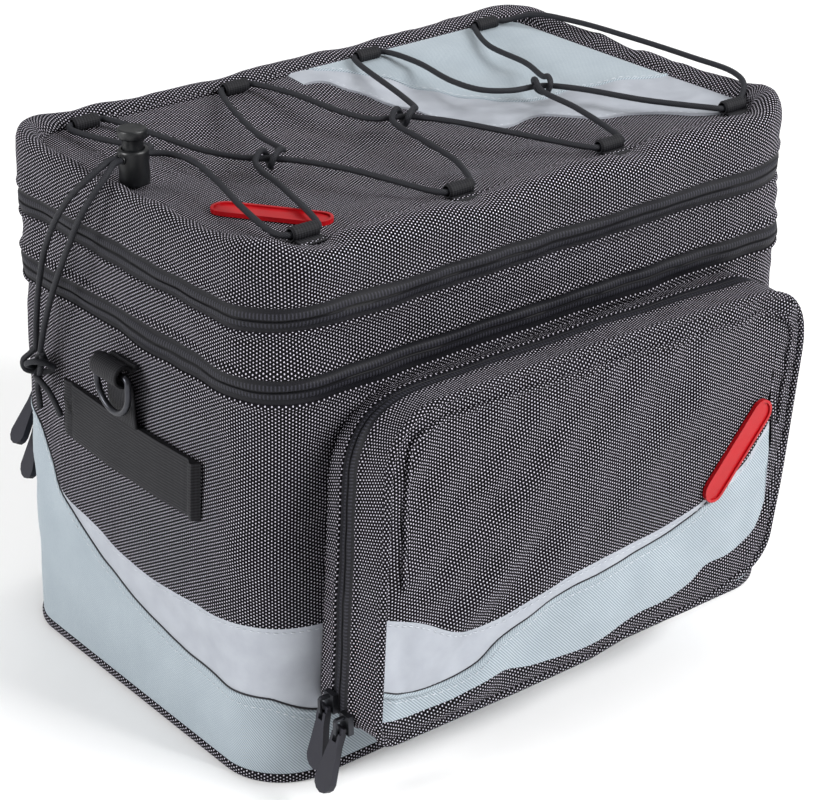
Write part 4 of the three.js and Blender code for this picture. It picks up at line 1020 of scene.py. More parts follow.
@dataclass
class Lid:
    """The lid's rolled rim, its sunken panel and the coloured corner on it."""

    finishes: Finishes

    def build(self) -> None:
        """Make the rim, the panel, the coloured patches and the lid's seams."""
        self._rim()
        self._panel()
        self._patches()

    def seam(self, turn: float) -> Vector:
        """Return a point of the seam between rim and panel."""
        width, _ = rim_at(turn)
        place = on_wall(turn, RIM_HEIGHT - SEAM_DROP, width + WALL)
        place.z = panel_height(place.x, place.y)
        return place

    def _rim(self) -> None:
        """Make the rolled rim, from the lid's zip over the top to the seam."""
        grid: Grid = []
        uvs: Uvs = []
        run = 0.0
        previous = None
        shares = [0, 0.02, 0.05, 0.08, 0.12, 0.18, 0.25, 0.33, 0.4, 0.47, 0.54, 0.6, 0.67, 0.74, 0.8, 0.87, 0.93, 1]
        for turn in turns(*WHOLE):
            width, top = rim_at(turn)
            column, marks = [], []
            here = on_wall(turn, LID_FOOT, 0)
            run += (here - previous).length if previous is not None else 0.0
            previous = here
            up_run = 0.0
            for share in shares:
                across = read(RIM_SECTION, "at", "across", share) * width
                up = read(RIM_SECTION, "at", "up", share)
                z = LID_FOOT - GAP + (top - LID_FOOT) * up
                fold = 1.2 * math.exp(-((((z - LID_FOOT) - 1.4) / 1.6) ** 2)) if share < 0.3 else 0.0
                plain_place = on_wall(turn, z, across)
                swell = wall_softness(plain_place) * (1 - 0.5 * share) + fold
                place = on_wall(turn, z, across - swell)
                crown = smoothstep(0.35, 0.7, share) * (1 if place.y < 60 else 0.4)
                place.z += crown * (ruffle(plain_place, 2.4, 24) + 1.0 - 4.2 * sleeve_dent(place.x, place.y))
                if column:
                    up_run += (place - column[-1]).length
                column.append(place)
                marks.append((run, LID_FOOT + up_run))
            column.append(self.seam(turn) - Vector((0, 0, 0.8)))
            marks.append((run, LID_FOOT + up_run + 3))
            column.insert(0, column[0] - wall_normal(turn, LID_FOOT) * 2)
            marks.insert(0, marks[0])
            grid.append(column)
            uvs.append(marks)
        pair_up(sheet("lid_rim", grid, uvs, self.finishes.black), Slot.BLACK, "lid_shell")

    def _panel(self) -> None:
        """Make the sunken panel and the fold along its seam."""
        ring = [self.seam(turn) for turn in turns(*WHOLE, 5.0)]
        shares = [1.01, 0.985] + [0.96 - 0.04 * k for k in range(24)] + [0.0]
        grid: Grid = []
        uvs: Uvs = []
        for p in ring:
            column = [panel_relief(p.x * s, p.y * s) for s in shares]
            column[0].z -= 1.5
            grid.append(column)
            uvs.append([(q.x, q.y) for q in column])
        pair_up(sheet("lid_panel", grid, uvs, self.finishes.black), Slot.BLACK)
        line = [p + Vector((0, 0, 0.4)) for p in ring[:-1]]
        pair_up(tube("lid_seam_fold", line, 1.1, self.finishes.black, 8, True), Slot.BLACK)

    def _patch(self, name: str, low: Height, high: Height, start: float, end: float,
               material: bpy.types.Material) -> bpy.types.Object:
        """Make a coloured patch on the panel, between two edges and two shares of the half length."""
        grid: Grid = []
        uvs: Uvs = []
        columns = 60
        for i in range(columns + 1):
            x = mix(start, end, i / columns) * HALF_LENGTH
            bottom, top = low(x / HALF_LENGTH), high(x / HALF_LENGTH)
            column = []
            for k in range(15):
                y = mix(bottom, top, k / 14)
                place = panel_relief(x, y)
                place.z += PATCH_LIFT
                column.append(place)
            lowest, highest = column[0].copy(), column[-1].copy()
            lowest.z -= PATCH_TUCK
            highest.z -= PATCH_TUCK
            column = [lowest] + column + [highest]
            if i in (0, columns):
                for place in column:
                    place.z -= 0.9
            grid.append(column)
            uvs.append([(p.x, p.y) for p in column])
        return sheet(name, grid, uvs, material)

    def _patches(self) -> None:
        """Make the silver and grey patches with their fold and stitches."""
        f = self.finishes
        back_edge = HALF_WIDTH - 13.4

        def silver(share: float) -> float:
            """Return the silver patch's front edge."""
            return read(LID_COLOUR_EDGES, "x", "silver", share) * HALF_WIDTH

        def grey(share: float) -> float:
            """Return the grey patch's front edge."""
            return min(back_edge, read(LID_COLOUR_EDGES, "x", "grey", share) * HALF_WIDTH)

        band = self._patch("lid_silver_patch", silver, grey, 0.03, 0.932, f.silver)
        pair_up(band, Slot.SILVER, "lid_reflective_band")
        panel = self._patch("lid_grey_patch", grey, lambda share: back_edge + 0.01, 0.1, 0.932, f.grey)
        pair_up(panel, Slot.GREY, "lid_grey_panel")
        fold = []
        for k in range(60):
            share = mix(0.12, 0.925, k / 59)
            place = panel_relief(share * HALF_LENGTH, grey(share))
            fold.append(place + Vector((0, 0, 1.0)))
        pair_up(tube("lid_patch_fold", fold, 1.0, f.grey, 8), Slot.GREY)
        path = [p + Vector((1.6, 2.4, 0.2)) for p in fold]
        up = [Vector((0, 0, 1))] * len(path)
        pair_up(stitches("stitches_lid_patch", path, up, f.thread), Slot.GREY)
        path = []
        for k in range(70):
            share = mix(0.1, 0.76, k / 69)
            place = panel_relief(share * HALF_LENGTH, silver(share) + 2.4)
            path.append(place + Vector((1.4, 0, 0.9)))
        pair_up(stitches("stitches_lid_band", path, [Vector((0, 0, 1))] * len(path), f.thread), Slot.GREY)


# Pockets


@dataclass(frozen=True)
class PocketPlan:
    """One pocket: its name, the side it is on, its depth and its flange at the wall."""

    name: str
    side: int
    depth: float
    flange: float


FRONT = PocketPlan("front", -1, 45.0, 11.5)
BACK = PocketPlan("back", 1, 23.0, 5.5)
SEAT_CORNERS = ((-138.0, 38.0, 12.0), (113.0, 38.0, 15.0), (130.0, 192.0, 24.0), (-128.0, 193.0, 40.0))
FACE_CORNERS = ((-138.0, 38.0, 12.0), (110.0, 36.0, 16.0), (130.0, 196.0, 36.0), (-128.0, 202.0, 30.0))
POCKET_WAVE = rows(
    "u seam edge hem",
    (0, 0.172, 0.405, 0.085), (0.07, 0.131, 0.365, 0.062), (0.15, 0.12, 0.297, 0.07),
    (0.22, 0.145, 0.262, 0.085), (0.27, 0.195, 0.268, 0.09), (0.345, 0.235, 0.298, 0.065),
    (0.44, 0.267, 0.322, 0.05), (0.51, 0.276, 0.331, 0.048), (0.575, 0.286, 0.335, 0.062),
    (0.64, 0.294, 0.338, 0.08), (0.69, 0.303, 0.342, 0.085), (0.77, 0.341, 0.37, 0.1),
    (0.81, 0.375, 0.4, 0.135), (0.88, 0.432, 0.455, 0.145), (0.94, 0.53, 0.552, 0.185),
    (0.976, 0.62, 0.643, 0.3), (1, 0.68, 0.7, 0.5),
)
POCKET_CROWN = 3.0
POCKET_TOP_BOW = 3.0
POCKET_BULGE = 1.2
ZIP_SPAN = (0.16, 0.84)  # the share of the outline that the pocket's zip runs along
SEAM_FOLD_END = 78.0
FACE_ROWS = {"hem": 4, "grey": 8, "silver": 6, "black": 34}
EDGE_STEPS = (40, 30, 40, 30)
CORNER_STEPS = 12


def soft_outline(corners: Sequence[Point]) -> list[Vector]:
    """Return a soft four-cornered outline in x and z, from the middle of its lower edge."""
    points: list[Vector] = []
    for i, (x, z, radius) in enumerate(corners):
        place = Vector((x, z))
        before = Vector(corners[i - 1][:2])
        after_x, after_z, after_radius = corners[(i + 1) % 4]
        after = Vector((after_x, after_z))
        start = place + (before - place).normalized() * radius
        end = place + (after - place).normalized() * radius
        for k in range(CORNER_STEPS + 1):
            t = k / CORNER_STEPS
            points.append(start * (1 - t) ** 2 + place * (2 * t * (1 - t)) + end * t**2)
        following = after - (after - place).normalized() * after_radius
        for k in range(1, EDGE_STEPS[i]):
            points.append(end.lerp(following, k / EDGE_STEPS[i]))
    shift = CORNER_STEPS + 1 + EDGE_STEPS[0] // 2
    return points[shift:] + points[:shift]


def inset(ring: Sequence[Vector], distance: float) -> list[Vector]:
    """Move an outline inwards by a distance."""
    out = []
    for i, p in enumerate(ring):
        run = (ring[(i + 1) % len(ring)] - ring[i - 1]).normalized()
        out.append(Vector((p.x - run.y * distance, p.y + run.x * distance)))
    return out


# How far the foot of the face is drawn up, along the pocket
POCKET_TUCK = rows(
    "u rise",
    (0, 0), (0.5, 0), (0.62, 3.5), (0.8, 3.5), (0.86, 5), (0.92, 9), (1, 14),
)


def face_shares(x: float, z: float) -> tuple[float, float]:
    """Return a place's shares along and up the pocket's face."""
    a, b, c, d = FACE_CORNERS
    v = min(1.0, max(0.0, (z - a[1]) / (d[1] - a[1])))
    left = mix(a[0], d[0], v)
    return min(1.0, max(0.0, (x - left) / (mix(b[0], c[0], v) - left))), v


def face_outline() -> list[Vector]:
    """Return the face's outline, with its foot drawn up and its top bowed."""
    ring = []
    for p in soft_outline(FACE_CORNERS):
        u, v = face_shares(p.x, p.y)
        tucked = read(POCKET_TUCK, "u", "rise", u) * (1 - smoothstep(0.0, 0.4, v))
        bowed = POCKET_TOP_BOW * 4 * u * (1 - u) * v**4
        ring.append(Vector((p.x, p.y + tucked + bowed)))
    return ring


SEAT_RING = soft_outline(SEAT_CORNERS)
FACE_RING = face_outline()
FACE_CENTRE = sum(FACE_RING, Vector((0, 0))) / len(FACE_RING)


@dataclass
class Pocket:
    """A zipped pocket on one long side."""

    finishes: Finishes
    plan: PocketPlan

    def build(self) -> None:
        """Make the gusset with its zip, the three cloths of the face and their seams."""
        f, plan = self.finishes, self.plan
        zip_from = plan.flange + GAP
        zip_to = zip_from + ZIP_TAPE
        name = plan.name
        marks = [0.4, 1.2, 2.5, 5] + [plan.flange - back for back in (3, 1.6, 0.6, 0)]
        self._gusset(f"{name}_flange", marks, f.black, Slot.BLACK, f"{name}_pocket_flange", self._fold(plan.flange, -1))
        marks = [zip_from + ZIP_TAPE * share for share in ZIP_ROWS]
        self._gusset(f"{name}_zip", marks, f.tape, Slot.TAPE, f"{name}_pocket_zip",
                     lambda out: zip_profile((out - zip_from) / ZIP_TAPE, ZIP_TAPE), ZIP_SPAN)
        marks = [zip_from, zip_from + 4, zip_to - 4, zip_to]
        self._gusset(f"{name}_hinge_low", marks, f.black, Slot.BLACK, f"{name}_pocket_hinge", None,
                     (ZIP_SPAN[1], 1 + ZIP_SPAN[0]))
        top = plan.depth - 1.5
        rows = [zip_to, zip_to + 0.6, zip_to + 1.6, zip_to + 3]
        rows += [mix(zip_to + 3, top, k / 8) for k in range(1, 9)]
        self._gusset(f"{name}_gusset", rows, f.black, Slot.BLACK, None, self._fold(zip_to, 1))
        self._face()

    def _fold(self, edge: float, direction: int) -> Callable[[float], float]:
        """Return the form of a fold of cloth beside an edge of the gusset."""
        return lambda out: 1.1 * math.exp(-((((out - edge) * direction - 1.2) / 1.5) ** 2))

    def gusset_point(self, index: int, out: float, proud: float) -> Vector:
        """Return a point of the gusset, some way out from the wall."""
        share = out / self.plan.depth
        seat, face = SEAT_RING[index], FACE_RING[index]
        q = seat.lerp(face, share)
        away = (q - FACE_CENTRE).normalized()
        q = q + away * (POCKET_BULGE * math.sin(math.pi * share) + proud)
        place = Vector((q.x, self.plan.side * (HALF_WIDTH + out), q.y))
        soft = ruffle(place, 1.0, 24) * math.sin(math.pi * min(1, max(0, share)))
        return place + Vector((away.x * soft, 0, away.y * soft))

    def _gusset(self, name: str, marks: Sequence[float], material: bpy.types.Material, slot: Slot, node: str | None,
                profile: Callable[[float], float] | None, span: tuple[float, float] = (0.0, 1.0)) -> None:
        """Make a strip of the gusset.

        Args:
            name: The object's name.
            marks: Distances from the wall where the mesh has rows.
            material: Its material.
            slot: The slot handed on to pair_up.
            node: The CAD node that it stands for, if any.
            profile: How far it stands out, by distance from the wall.
            span: The shares of the outline that it starts and ends at.
        """
        total = len(SEAT_RING)
        first, last = round(span[0] * total), round(span[1] * total)
        grid: Grid = []
        uvs: Uvs = []
        run = 0.0
        for i in range(first, last + 1):
            column = [self.gusset_point(i % total, out, profile(out) if profile else 0.0) for out in marks]
            if grid:
                run += (column[0] - grid[-1][1]).length
            inner = [self.gusset_point(i % total, marks[k], -1.6) for k in (0, -1)]
            values = [(run, out - (marks[0] if material is self.finishes.tape else 0)) for out in marks]
            grid.append([inner[0]] + column + [inner[1]])
            uvs.append([values[0]] + values + [values[-1]])
        sharp = CRISP_EDGE if material is self.finishes.tape else SOFT_EDGE
        piece = sheet(name, grid, uvs, material, self.plan.side > 0, sharp)
        pair_up(piece, slot, *([node] if node else []))

    def face_depth(self, x: float, z: float) -> float:
        """Return how far the face stands out from the wall."""
        u, v = face_shares(x, z)
        ridge = smoothstep(0, 0.05, min(u, 1 - u)) * smoothstep(0, 0.06, min(v, 1 - v))
        along_fold, across_fold = (x * 0.8 + z * 0.6) / 62, (z * 0.8 - x * 0.6) / 17
        crease = noise.noise(Vector((along_fold, across_fold, 5.0)))
        soft = ruffle(Vector((x, 0, z)), 2.2, 40) + 4.6 * (1.15 - u) * crease
        edge = min(u * 245, (1 - u) * 245, (1 - v) * 164)
        soft += 2.0 * math.exp(-(((edge - 13) / 9) ** 2)) * noise.noise(Vector((x / 13, 3, z / 13)))
        crown = POCKET_CROWN * 16 * u * (1 - u) * v * (1 - v)
        return self.plan.depth - 1.2 * (1 - ridge) + crown + soft * ridge

    def face_place(self, x: float, z: float, lift: float = 0.0) -> Vector:
        """Return a point of the face."""
        return Vector((x, self.plan.side * (HALF_WIDTH + self.face_depth(x, z) + lift), z))

    def swell(self, cloth: str, share: float) -> float:
        """Return how far a cloth of the face puffs out at a share of its height."""
        return 1.3 * math.sin(math.pi * share) if cloth == "hem" else 0.0

    def _face(self) -> None:
        """Make the face's four cloths and the seams between them."""
        f, name = self.finishes, self.plan.name
        ring = inset(FACE_RING, 1.0)
        left, right = min(p.x for p in ring), max(p.x for p in ring)
        count = 90
        turned_shares = [math.pi * mix(0.012, 0.988, i / count) for i in range(count + 1)]
        columns = [mix(left, right, 0.5 - 0.5 * math.cos(angle)) for angle in turned_shares]

        def reach(x: float) -> tuple[float, float]:
            """Return the outline's lowest and highest points at a place along it."""
            heights = []
            for i, p in enumerate(ring):
                q = ring[(i + 1) % len(ring)]
                if (p.x - x) * (q.x - x) <= 0 and abs(p.x - q.x) > 1e-9:
                    heights.append(mix(p.y, q.y, (x - p.x) / (q.x - p.x)))
            return min(heights), max(heights)

        foot = FACE_CORNERS[0][1]
        tall = FACE_CORNERS[3][1] - foot

        def line(column: str, x: float) -> float:
            """Return the height of one of the face's seams."""
            z = foot + tall * 0.25
            for _ in range(3):
                u, _ = face_shares(x, z)
                z = foot + tall * read(POCKET_WAVE, "u", column, u)
            return z

        cloths: dict[str, tuple[Grid, Uvs]] = {key: ([], []) for key in FACE_ROWS}
        seam_path, edge_path = [], []
        for x in columns:
            low, high = reach(x)
            seam = min(high, max(low, line("seam", x)))
            edge = min(high, max(seam, line("edge", x)))
            u, _ = face_shares(x, foot)
            hem = max(low, min(high - 20, max(low + 1.5, line("hem", x))))
            if not 0.004 < u < 0.985:
                hem = seam = edge = min(high, hem)
            seam = max(seam, hem)
            edge = max(seam, edge)
            for (key, count), bottom, top in zip(FACE_ROWS.items(), (low, hem, seam, edge), (hem, seam, edge, high)):
                shares = [k / count for k in range(count + 1)]
                places = [self.face_place(x, mix(bottom, top, share), self.swell(key, share)) for share in shares]
                cloths[key][0].append(places)
                cloths[key][1].append([(p.x, p.z) for p in places])
            if 0.01 < u < 0.975:
                seam_path.append((x, seam))
                edge_path.append((x, edge))
        kinds = {
            "hem": (f.black, Slot.BLACK, None),
            "grey": (f.grey, Slot.GREY, f"{name}_pocket_grey_panel"),
            "silver": (f.silver, Slot.SILVER, f"{name}_pocket_reflective_band"),
            "black": (f.black, Slot.BLACK, f"{name}_pocket_shell"),
        }
        for key, (material, slot, node) in kinds.items():
            grid, uvs = cloths[key]
            piece = sheet(f"{name}_face_{key}", grid, uvs, material, self.plan.side > 0)
            pair_up(piece, slot, *([node] if node else []))
        out = Vector((0, self.plan.side, 0))
        seam_path = [mark for mark in seam_path if mark[0] < SEAM_FOLD_END]
        fold = [self.face_place(x, z + 0.2, -0.1) for x, z in seam_path]
        pair_up(tube(f"{name}_seam_fold", fold, 1.3, f.grey, 8), Slot.GREY)
        # A thin dark tube just above the seam fold: painted shade, standing in for the shadow in the seam's groove.
        groove_shade_line = [self.face_place(x, z + 1.7, -0.15) for x, z in seam_path]
        pair_up(tube(f"{name}_seam_groove_shade", groove_shade_line, 0.5, f.dark_thread_and_groove_shade, 6), Slot.GREY)
        for row, marks, below in (("seam", seam_path[2:-2], 3.0), ("band", edge_path[3:-3], 2.2)):
            sewn = [self.face_place(x, z - below, 0.1) for x, z in marks]
            pair_up(stitches(f"stitches_{name}_{row}", sewn, [out] * len(sewn), f.thread), Slot.GREY)
        edge_y = self.plan.side * (HALF_WIDTH + self.plan.depth - 1.0)
        border = [Vector((p.x, edge_y, p.y)) for p in inset(FACE_RING, 0.2)]
        pair_up(tube(f"{name}_edge_fold", border, 1.9, f.black, 10, True), Slot.BLACK)
        self._ridge(name)

    def _ridge(self, name: str) -> None:
        """The stitched fold that runs inside the face's upper and side edges."""
        total = len(FACE_RING)
        ring = inset(FACE_RING, 9.0)
        places = [self.face_place(p.x, p.y, 0.5) for p in ring[round(total * 0.27) : round(total * 0.74)]]
        pair_up(tube(f"{name}_face_ridge", places, 1.3, self.finishes.black, 8), Slot.BLACK)


# Lacing

CORD = 3.0
SLEEVE_LENGTH = 14.0
SLEEVE_RADIUS = 3.2
SLEEVES = {"back": (-121.0, -32.0, 53.0, 135.0), "front": (-121.5, -34.0, 59.0, 142.0)}
SLEEVE_Y = {"back": HALF_WIDTH - 19.0, "front": -(HALF_WIDTH - 26.0)}
LOCK_X, LOCK_Y, LOCK_RADIUS = -142.5, 15.5, 7.3
LOCK_FOOT = panel_height(LOCK_X - LOCK_RADIUS, LOCK_Y) + 0.9
LOCK_CORDS = LOCK_FOOT + 13.2
LOCK_MOUTH = LOCK_X - LOCK_RADIUS
LOCK_SPACING = 3.6
STRAND = 264.6
HOOKS = ((-80.0, -4.0, (12.0, -13.0)), (6.0, 3.0, (12.0, -12.0)), (90.0, -4.0, (20.0, -6.0)))
HOOK_TURN = (
    (4.6, -9, 1.6),
    (4.2, -2, 3.7),
    (2.8, 3.9, 2),
    (1.2, 3.4, -2.6),
    (-1.2, -3.2, -2.9),
    (-3, -4, 1.6),
    (-4.2, 0.6, 3.9),
    (-4.8, 9, 1.2),
)
KNOT = Vector((-174.5, 63.5, 161.0))
FREE_ENDS = (
    ((-156, 14.8, 275.6), (-162.5, 12.2, 274.5), (-169, 13.5, 270), (-173.5, 20, 262), (-175.3, 28.5, 252),
     (-175.6, 37.5, 240.5), (-175.6, 45.5, 228), (-175.4, 52, 214), (-175, 57.5, 199), (-174.8, 61.3, 185),
     (-174.6, 63.4, 175), (-174.5, 64.2, 169.7)),
    ((-156, 10.9, 275.2), (-162, 7.4, 272.5), (-168, 7, 267), (-172, 11, 258.5), (-174, 17, 248), (-175, 22.5, 238),
     (-175.3, 29.5, 227), (-175.3, 36.5, 216), (-175, 44.5, 203), (-174.8, 52.5, 187.5), (-174.6, 57.8, 175.5),
     (-174.5, 60, 169.3)),
)


def sleeve_height(side: str, index: int) -> float:
    """Return the height of a lace sleeve's axis."""
    return panel_height(SLEEVES[side][index], SLEEVE_Y[side]) + SLEEVE_RADIUS + 2 * GAP


def hook_turn(index: int, backwards: bool) -> list[Point]:
    """Return the hooking strand's full turn round the strand that runs straight on."""
    x, y, towards = HOOKS[index]
    size = math.hypot(*towards)
    ax, ay = towards[0] / size, towards[1] / size
    points = [(x + a * ax + c * ay, y + a * ay - c * ax, STRAND + up) for a, c, up in HOOK_TURN]
    return points[::-1] if backwards else points


def through(side: str, index: int, direction: int, aside: tuple[float, float] = (4.5, 4.5)) -> list[Point]:
    """Return the lace's way through a sleeve.

    Args:
        side: The long side that the sleeve is on.
        index: Which sleeve it is.
        direction: 1 towards the far end, or -1.
        aside: How far the lace has bent inwards before and after the sleeve.

    Returns:
        Four points.
    """
    x, y, z = SLEEVES[side][index], SLEEVE_Y[side], sleeve_height(side, index)
    inwards = -1 if side == "back" else 1
    reach = SLEEVE_LENGTH / 2
    return [
        (x - direction * (reach + 4), y + inwards * aside[0], z),
        (x - direction * (reach + 0.8), y, z),
        (x + direction * (reach + 0.8), y, z),
        (x + direction * (reach + 4), y + inwards * aside[1], z),
    ]


def lace_route() -> list[Point]:
    """Return the lacing's route from the cord lock and back to it."""
    inner, outer = LOCK_Y + LOCK_SPACING / 2, LOCK_Y - LOCK_SPACING / 2
    h = STRAND
    c1, c2, c3 = HOOKS
    mouth = LOCK_X + LOCK_RADIUS + 1
    return [
        (LOCK_MOUTH, inner, LOCK_CORDS), (mouth, inner, LOCK_CORDS), (-128.2, 23, LOCK_CORDS - 1),
        (-126, 36, h + 6.4), (-127.2, 58, h + 1.8),
        *through("back", 0, 1),
        (-104, 62, h), (-98.5, 28, h), (-90, 7, h), (c1[0], c1[1], h), (-71, -15, h), (-59, -41, h),
        *through("front", 1, 1),
        (-14, -62, h), (-8, -30, h), *hook_turn(1, True), (25, 30, h),
        *through("back", 2, 1),
        (64.5, 66, h), (59, 30, h), (62, 10, h), (73, 0, h), (c3[0], c3[1], h), (101, -19, h), (115, -54, h),
        *through("front", 3, 1),
        (160, -78, h + 5), (168, -62, h + 5.9), (170.5, -30, h + 5.2), (169.5, 12, h + 5.2), (164.5, 56, h + 5.6),
        (156.5, 80, h + 5.2),
        *through("back", 3, -1, (2.2, 4.5)),
        (112, 64, h), (108, 30, h), *hook_turn(2, False), (80.5, -40, h),
        *through("front", 2, -1),
        (31, -46, h), (18, -14, h), (c2[0], c2[1], h), (-8, 10, h), (-13.5, 28, h), (-16, 66, h),
        *through("back", 1, -1),
        (-56, 58, h), (-66, 22, h), *hook_turn(0, False), (-97, -38, h),
        *through("front", 0, -1),
        (-129.5, -54, h + 2.2), (-123.5, -24, h + 5.4), (-122.3, -2, h + 8.4), (-127, 9.5, LOCK_CORDS - 0.8),
        (mouth, outer, LOCK_CORDS), (LOCK_MOUTH, outer, LOCK_CORDS),
    ]


@dataclass
class Lacing:
    """The elastic lacing, its sleeves, the cord lock and the two free ends with their knot."""

    finishes: Finishes

    def build(self) -> None:
        """Make the cords first, and then what they run through."""
        self._free_ends()
        lace = tube("lacing", smooth_route(lace_route(), 7), CORD / 2, self.finishes.cord)
        pair_up(lace, Slot.CORD, "lace_cord")
        for side, places in SLEEVES.items():
            for i, x in enumerate(places):
                self._sleeve(side, i, x)
        self._lock()

    def _free_ends(self) -> None:
        knot = self._knot()
        starts = (LOCK_Y + LOCK_SPACING / 2, LOCK_Y - LOCK_SPACING / 2)
        for i, points in enumerate(FREE_ENDS):
            exits = [(LOCK_MOUTH - GAP * out, starts[i], LOCK_CORDS) for out in (1, 2.5)]
            path = smooth_route([*exits, *points], 6)
            piece = tube(f"hanging_end_{i + 1}", path, CORD / 2, self.finishes.cord)
            pair_up(piece, Slot.CORD, f"free_end_{i + 1}")

    def _lock(self) -> None:
        """The moulded barrel and the button that is pressed into it."""
        low, high = (Vector(corner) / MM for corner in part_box("cord_lock_barrel"))
        x, y = (low.x + high.x) / 2, (low.y + high.y) / 2
        foot, top, r = low.z, high.z, LOCK_RADIUS
        profile = [(0.1, foot), (r - 0.8, foot), (r - 0.2, foot + 0.4), (r, foot + 1.2), (r - 0.1, foot + 5),
                   (r, top - 1.4), (r - 0.2, top - 0.4), (r - 0.8, top), (r - 1.7, top - 0.1), (r - 1.8, top - 2.5)]
        barrel = turned("lock_barrel", (x, y), profile, self.finishes.moulding)
        pair_up(barrel, Slot.LOCK, "cord_lock_barrel")
        crown = Vector(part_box("cord_lock_button")[1]).z / MM
        profile = [(5.0, top - 0.9), (5.0, crown - 5.2), (5.2, crown - 4.9), (6.6, crown - 4.6),
                   (7.0, crown - 4.0), (7.0, crown - 0.9), (6.7, crown - 0.25), (6.1, crown),
                   (5.2, crown - 0.35), (0.1, crown - 0.5)]
        button = turned("lock_button", (x, y), profile, self.finishes.moulding)
        pair_up(button, Slot.LOCK, "cord_lock_button", body="cord_lock_button")
        for index, offset in enumerate((LOCK_SPACING / 2, -LOCK_SPACING / 2)):
            ring = [Vector((LOCK_MOUTH + 0.25, LOCK_Y + offset + 1.75 * math.cos(a), LOCK_CORDS + 1.75 * math.sin(a)))
                    for a in (2 * math.pi * k / 20 for k in range(20))]
            lip = tube(f"lock_mouth_{index + 1}", ring, 0.45, self.finishes.moulding, 8, True)
            pair_up(lip, Slot.LOCK)

    def _knot(self) -> bpy.types.Object:
        """An overhand knot: the doubled cord wrapped round itself, with both ends out below."""
        long_end = [(0, 0.6, 7.2), (-1.8, 2.2, 4.5), (-3.6, 4.6, 1), (-2.6, 5.2, -3.4), (1.2, 3.4, -5.2),
                    (3.6, -0.6, -4.2), (3.6, -4.6, -0.6), (0.6, -6.2, 2.4), (-3.0, -4.4, 3.8),
                    (-4.4, -0.4, 2.2), (-2.8, 3.2, -0.8), (0.6, 4.6, -3), (2.8, 4.4, 0.8), (2.6, 1.4, 3.6),
                    (0.6, -2.2, 3.4), (-1.2, -3.4, -0.8), (-0.6, -1.4, -5), (0.2, 2.0, -10), (0.9, 2.5, -21)]
        short_end = [(0.2, -3, 5.8), (1.6, -2.4, 2.8), (2.8, 0.6, 0.2), (1.6, 2.6, -3.8), (-1.2, 0.2, -5.6),
                     (-2.2, -3.6, -4.8), (-0.6, -8, -9.4), (-0.5, -15, -17)]
        parts = []
        for i, points in enumerate((long_end, short_end)):
            path = smooth_route([KNOT + Vector((x * 1.3, y * 1.35, z * 1.2)) for x, y, z in points], 6)
            parts.append(tube(f"knot_part_{i}", path, CORD / 2, self.finishes.cord, 12))
        knot = join(parts, "lace_knot")
        return pair_up(knot, Slot.CORD, "end_knot")

    def _sleeve(self, side: str, index: int, x: float) -> None:
        """A loop of ribbed webbing round the lace, with its tail sewn into the lid's seam."""
        y, z = SLEEVE_Y[side], sleeve_height(side, index)
        outward = 1 if side == "back" else -1
        grid: Grid = []
        uvs: Uvs = []
        columns = 15
        seam_reach = 12.0 if side == "back" else 9.0
        for i in range(columns):
            along_x = mix(-SLEEVE_LENGTH / 2, SLEEVE_LENGTH / 2, i / (columns - 1))
            end = 1 - 0.12 * smoothstep(0.8, 1, abs(along_x) / (SLEEVE_LENGTH / 2))
            rib = 1 + 0.04 * math.sin(along_x * 2 * math.pi / 2.2)
            column, marks = [], []
            for k in range(21):
                angle = mix(-0.75, 1.25, k / 20) * math.pi
                radius = SLEEVE_RADIUS * end * rib
                inwards = radius * math.cos(angle)
                column.append(Vector((x + along_x, y - outward * inwards * 0.96, z + radius * math.sin(angle))))
                marks.append((angle * SLEEVE_RADIUS, along_x))
            tail = Vector((x + along_x * 0.98, y + outward * seam_reach, panel_height(x, y) + 1.1))
            column.append(tail)
            marks.append((marks[-1][0] + seam_reach, along_x))
            grid.append(column)
            uvs.append(marks)
        piece = sheet(f"sleeve_{side}_{index + 1}", grid, uvs, self.finishes.webbing)
        thick = piece.modifiers.new("cloth_thickness", "SOLIDIFY")
        thick.thickness = 0.7 * MM
        thick.offset = 0
        pair_up(piece, Slot.WEBBING, f"lace_sleeve_{side}_{index + 1}")


def join(parts: Sequence[bpy.types.Object], name: str) -> bpy.types.Object:
    """Join meshes that share a material into one object."""
    points: list[Vector] = []
    faces: list[tuple[int, ...]] = []
    uvs: list[tuple[float, float]] = []
    material = parts[0].data.materials[0]
    for part in parts:
        base = len(points)
        mesh = part.data
        marks = [(0.0, 0.0)] * len(mesh.vertices)
        for loop in mesh.loops:
            marks[loop.vertex_index] = tuple(mesh.uv_layers[UV_NAME].data[loop.index].uv)
        points += [v.co / MM for v in mesh.vertices]
        uvs += marks
        faces += [tuple(base + v for v in polygon.vertices) for polygon in mesh.polygons]
        bpy.data.objects.remove(part)
        bpy.data.meshes.remove(mesh)
    return make_object(name, points, faces, uvs, material, CRISP_EDGE)


# Hardware and webbing

STRAP_FRONT, STRAP_BACK, STRAP_LOW, STRAP_WEBBING = -65.0, 53.0, 126.5, 29.0
STRAP_SEAMS = (6.5, 8.0)
TAB_WEBBING = 22.0
WEBBING_THICKNESS = 2.2
RING_WIRE = 3.2
RING_HEIGHT = 183.5
RING_STANDOFF = 8.2
RING_DROP = 23.0


def turn_at_left(y: float) -> float:
    """Return the turn of a place on the cord lock's end."""
    return 3 + CORNER_SHARE + (1 - 2 * CORNER_SHARE) * ((CORE_WIDTH - y) / (2 * CORE_WIDTH))


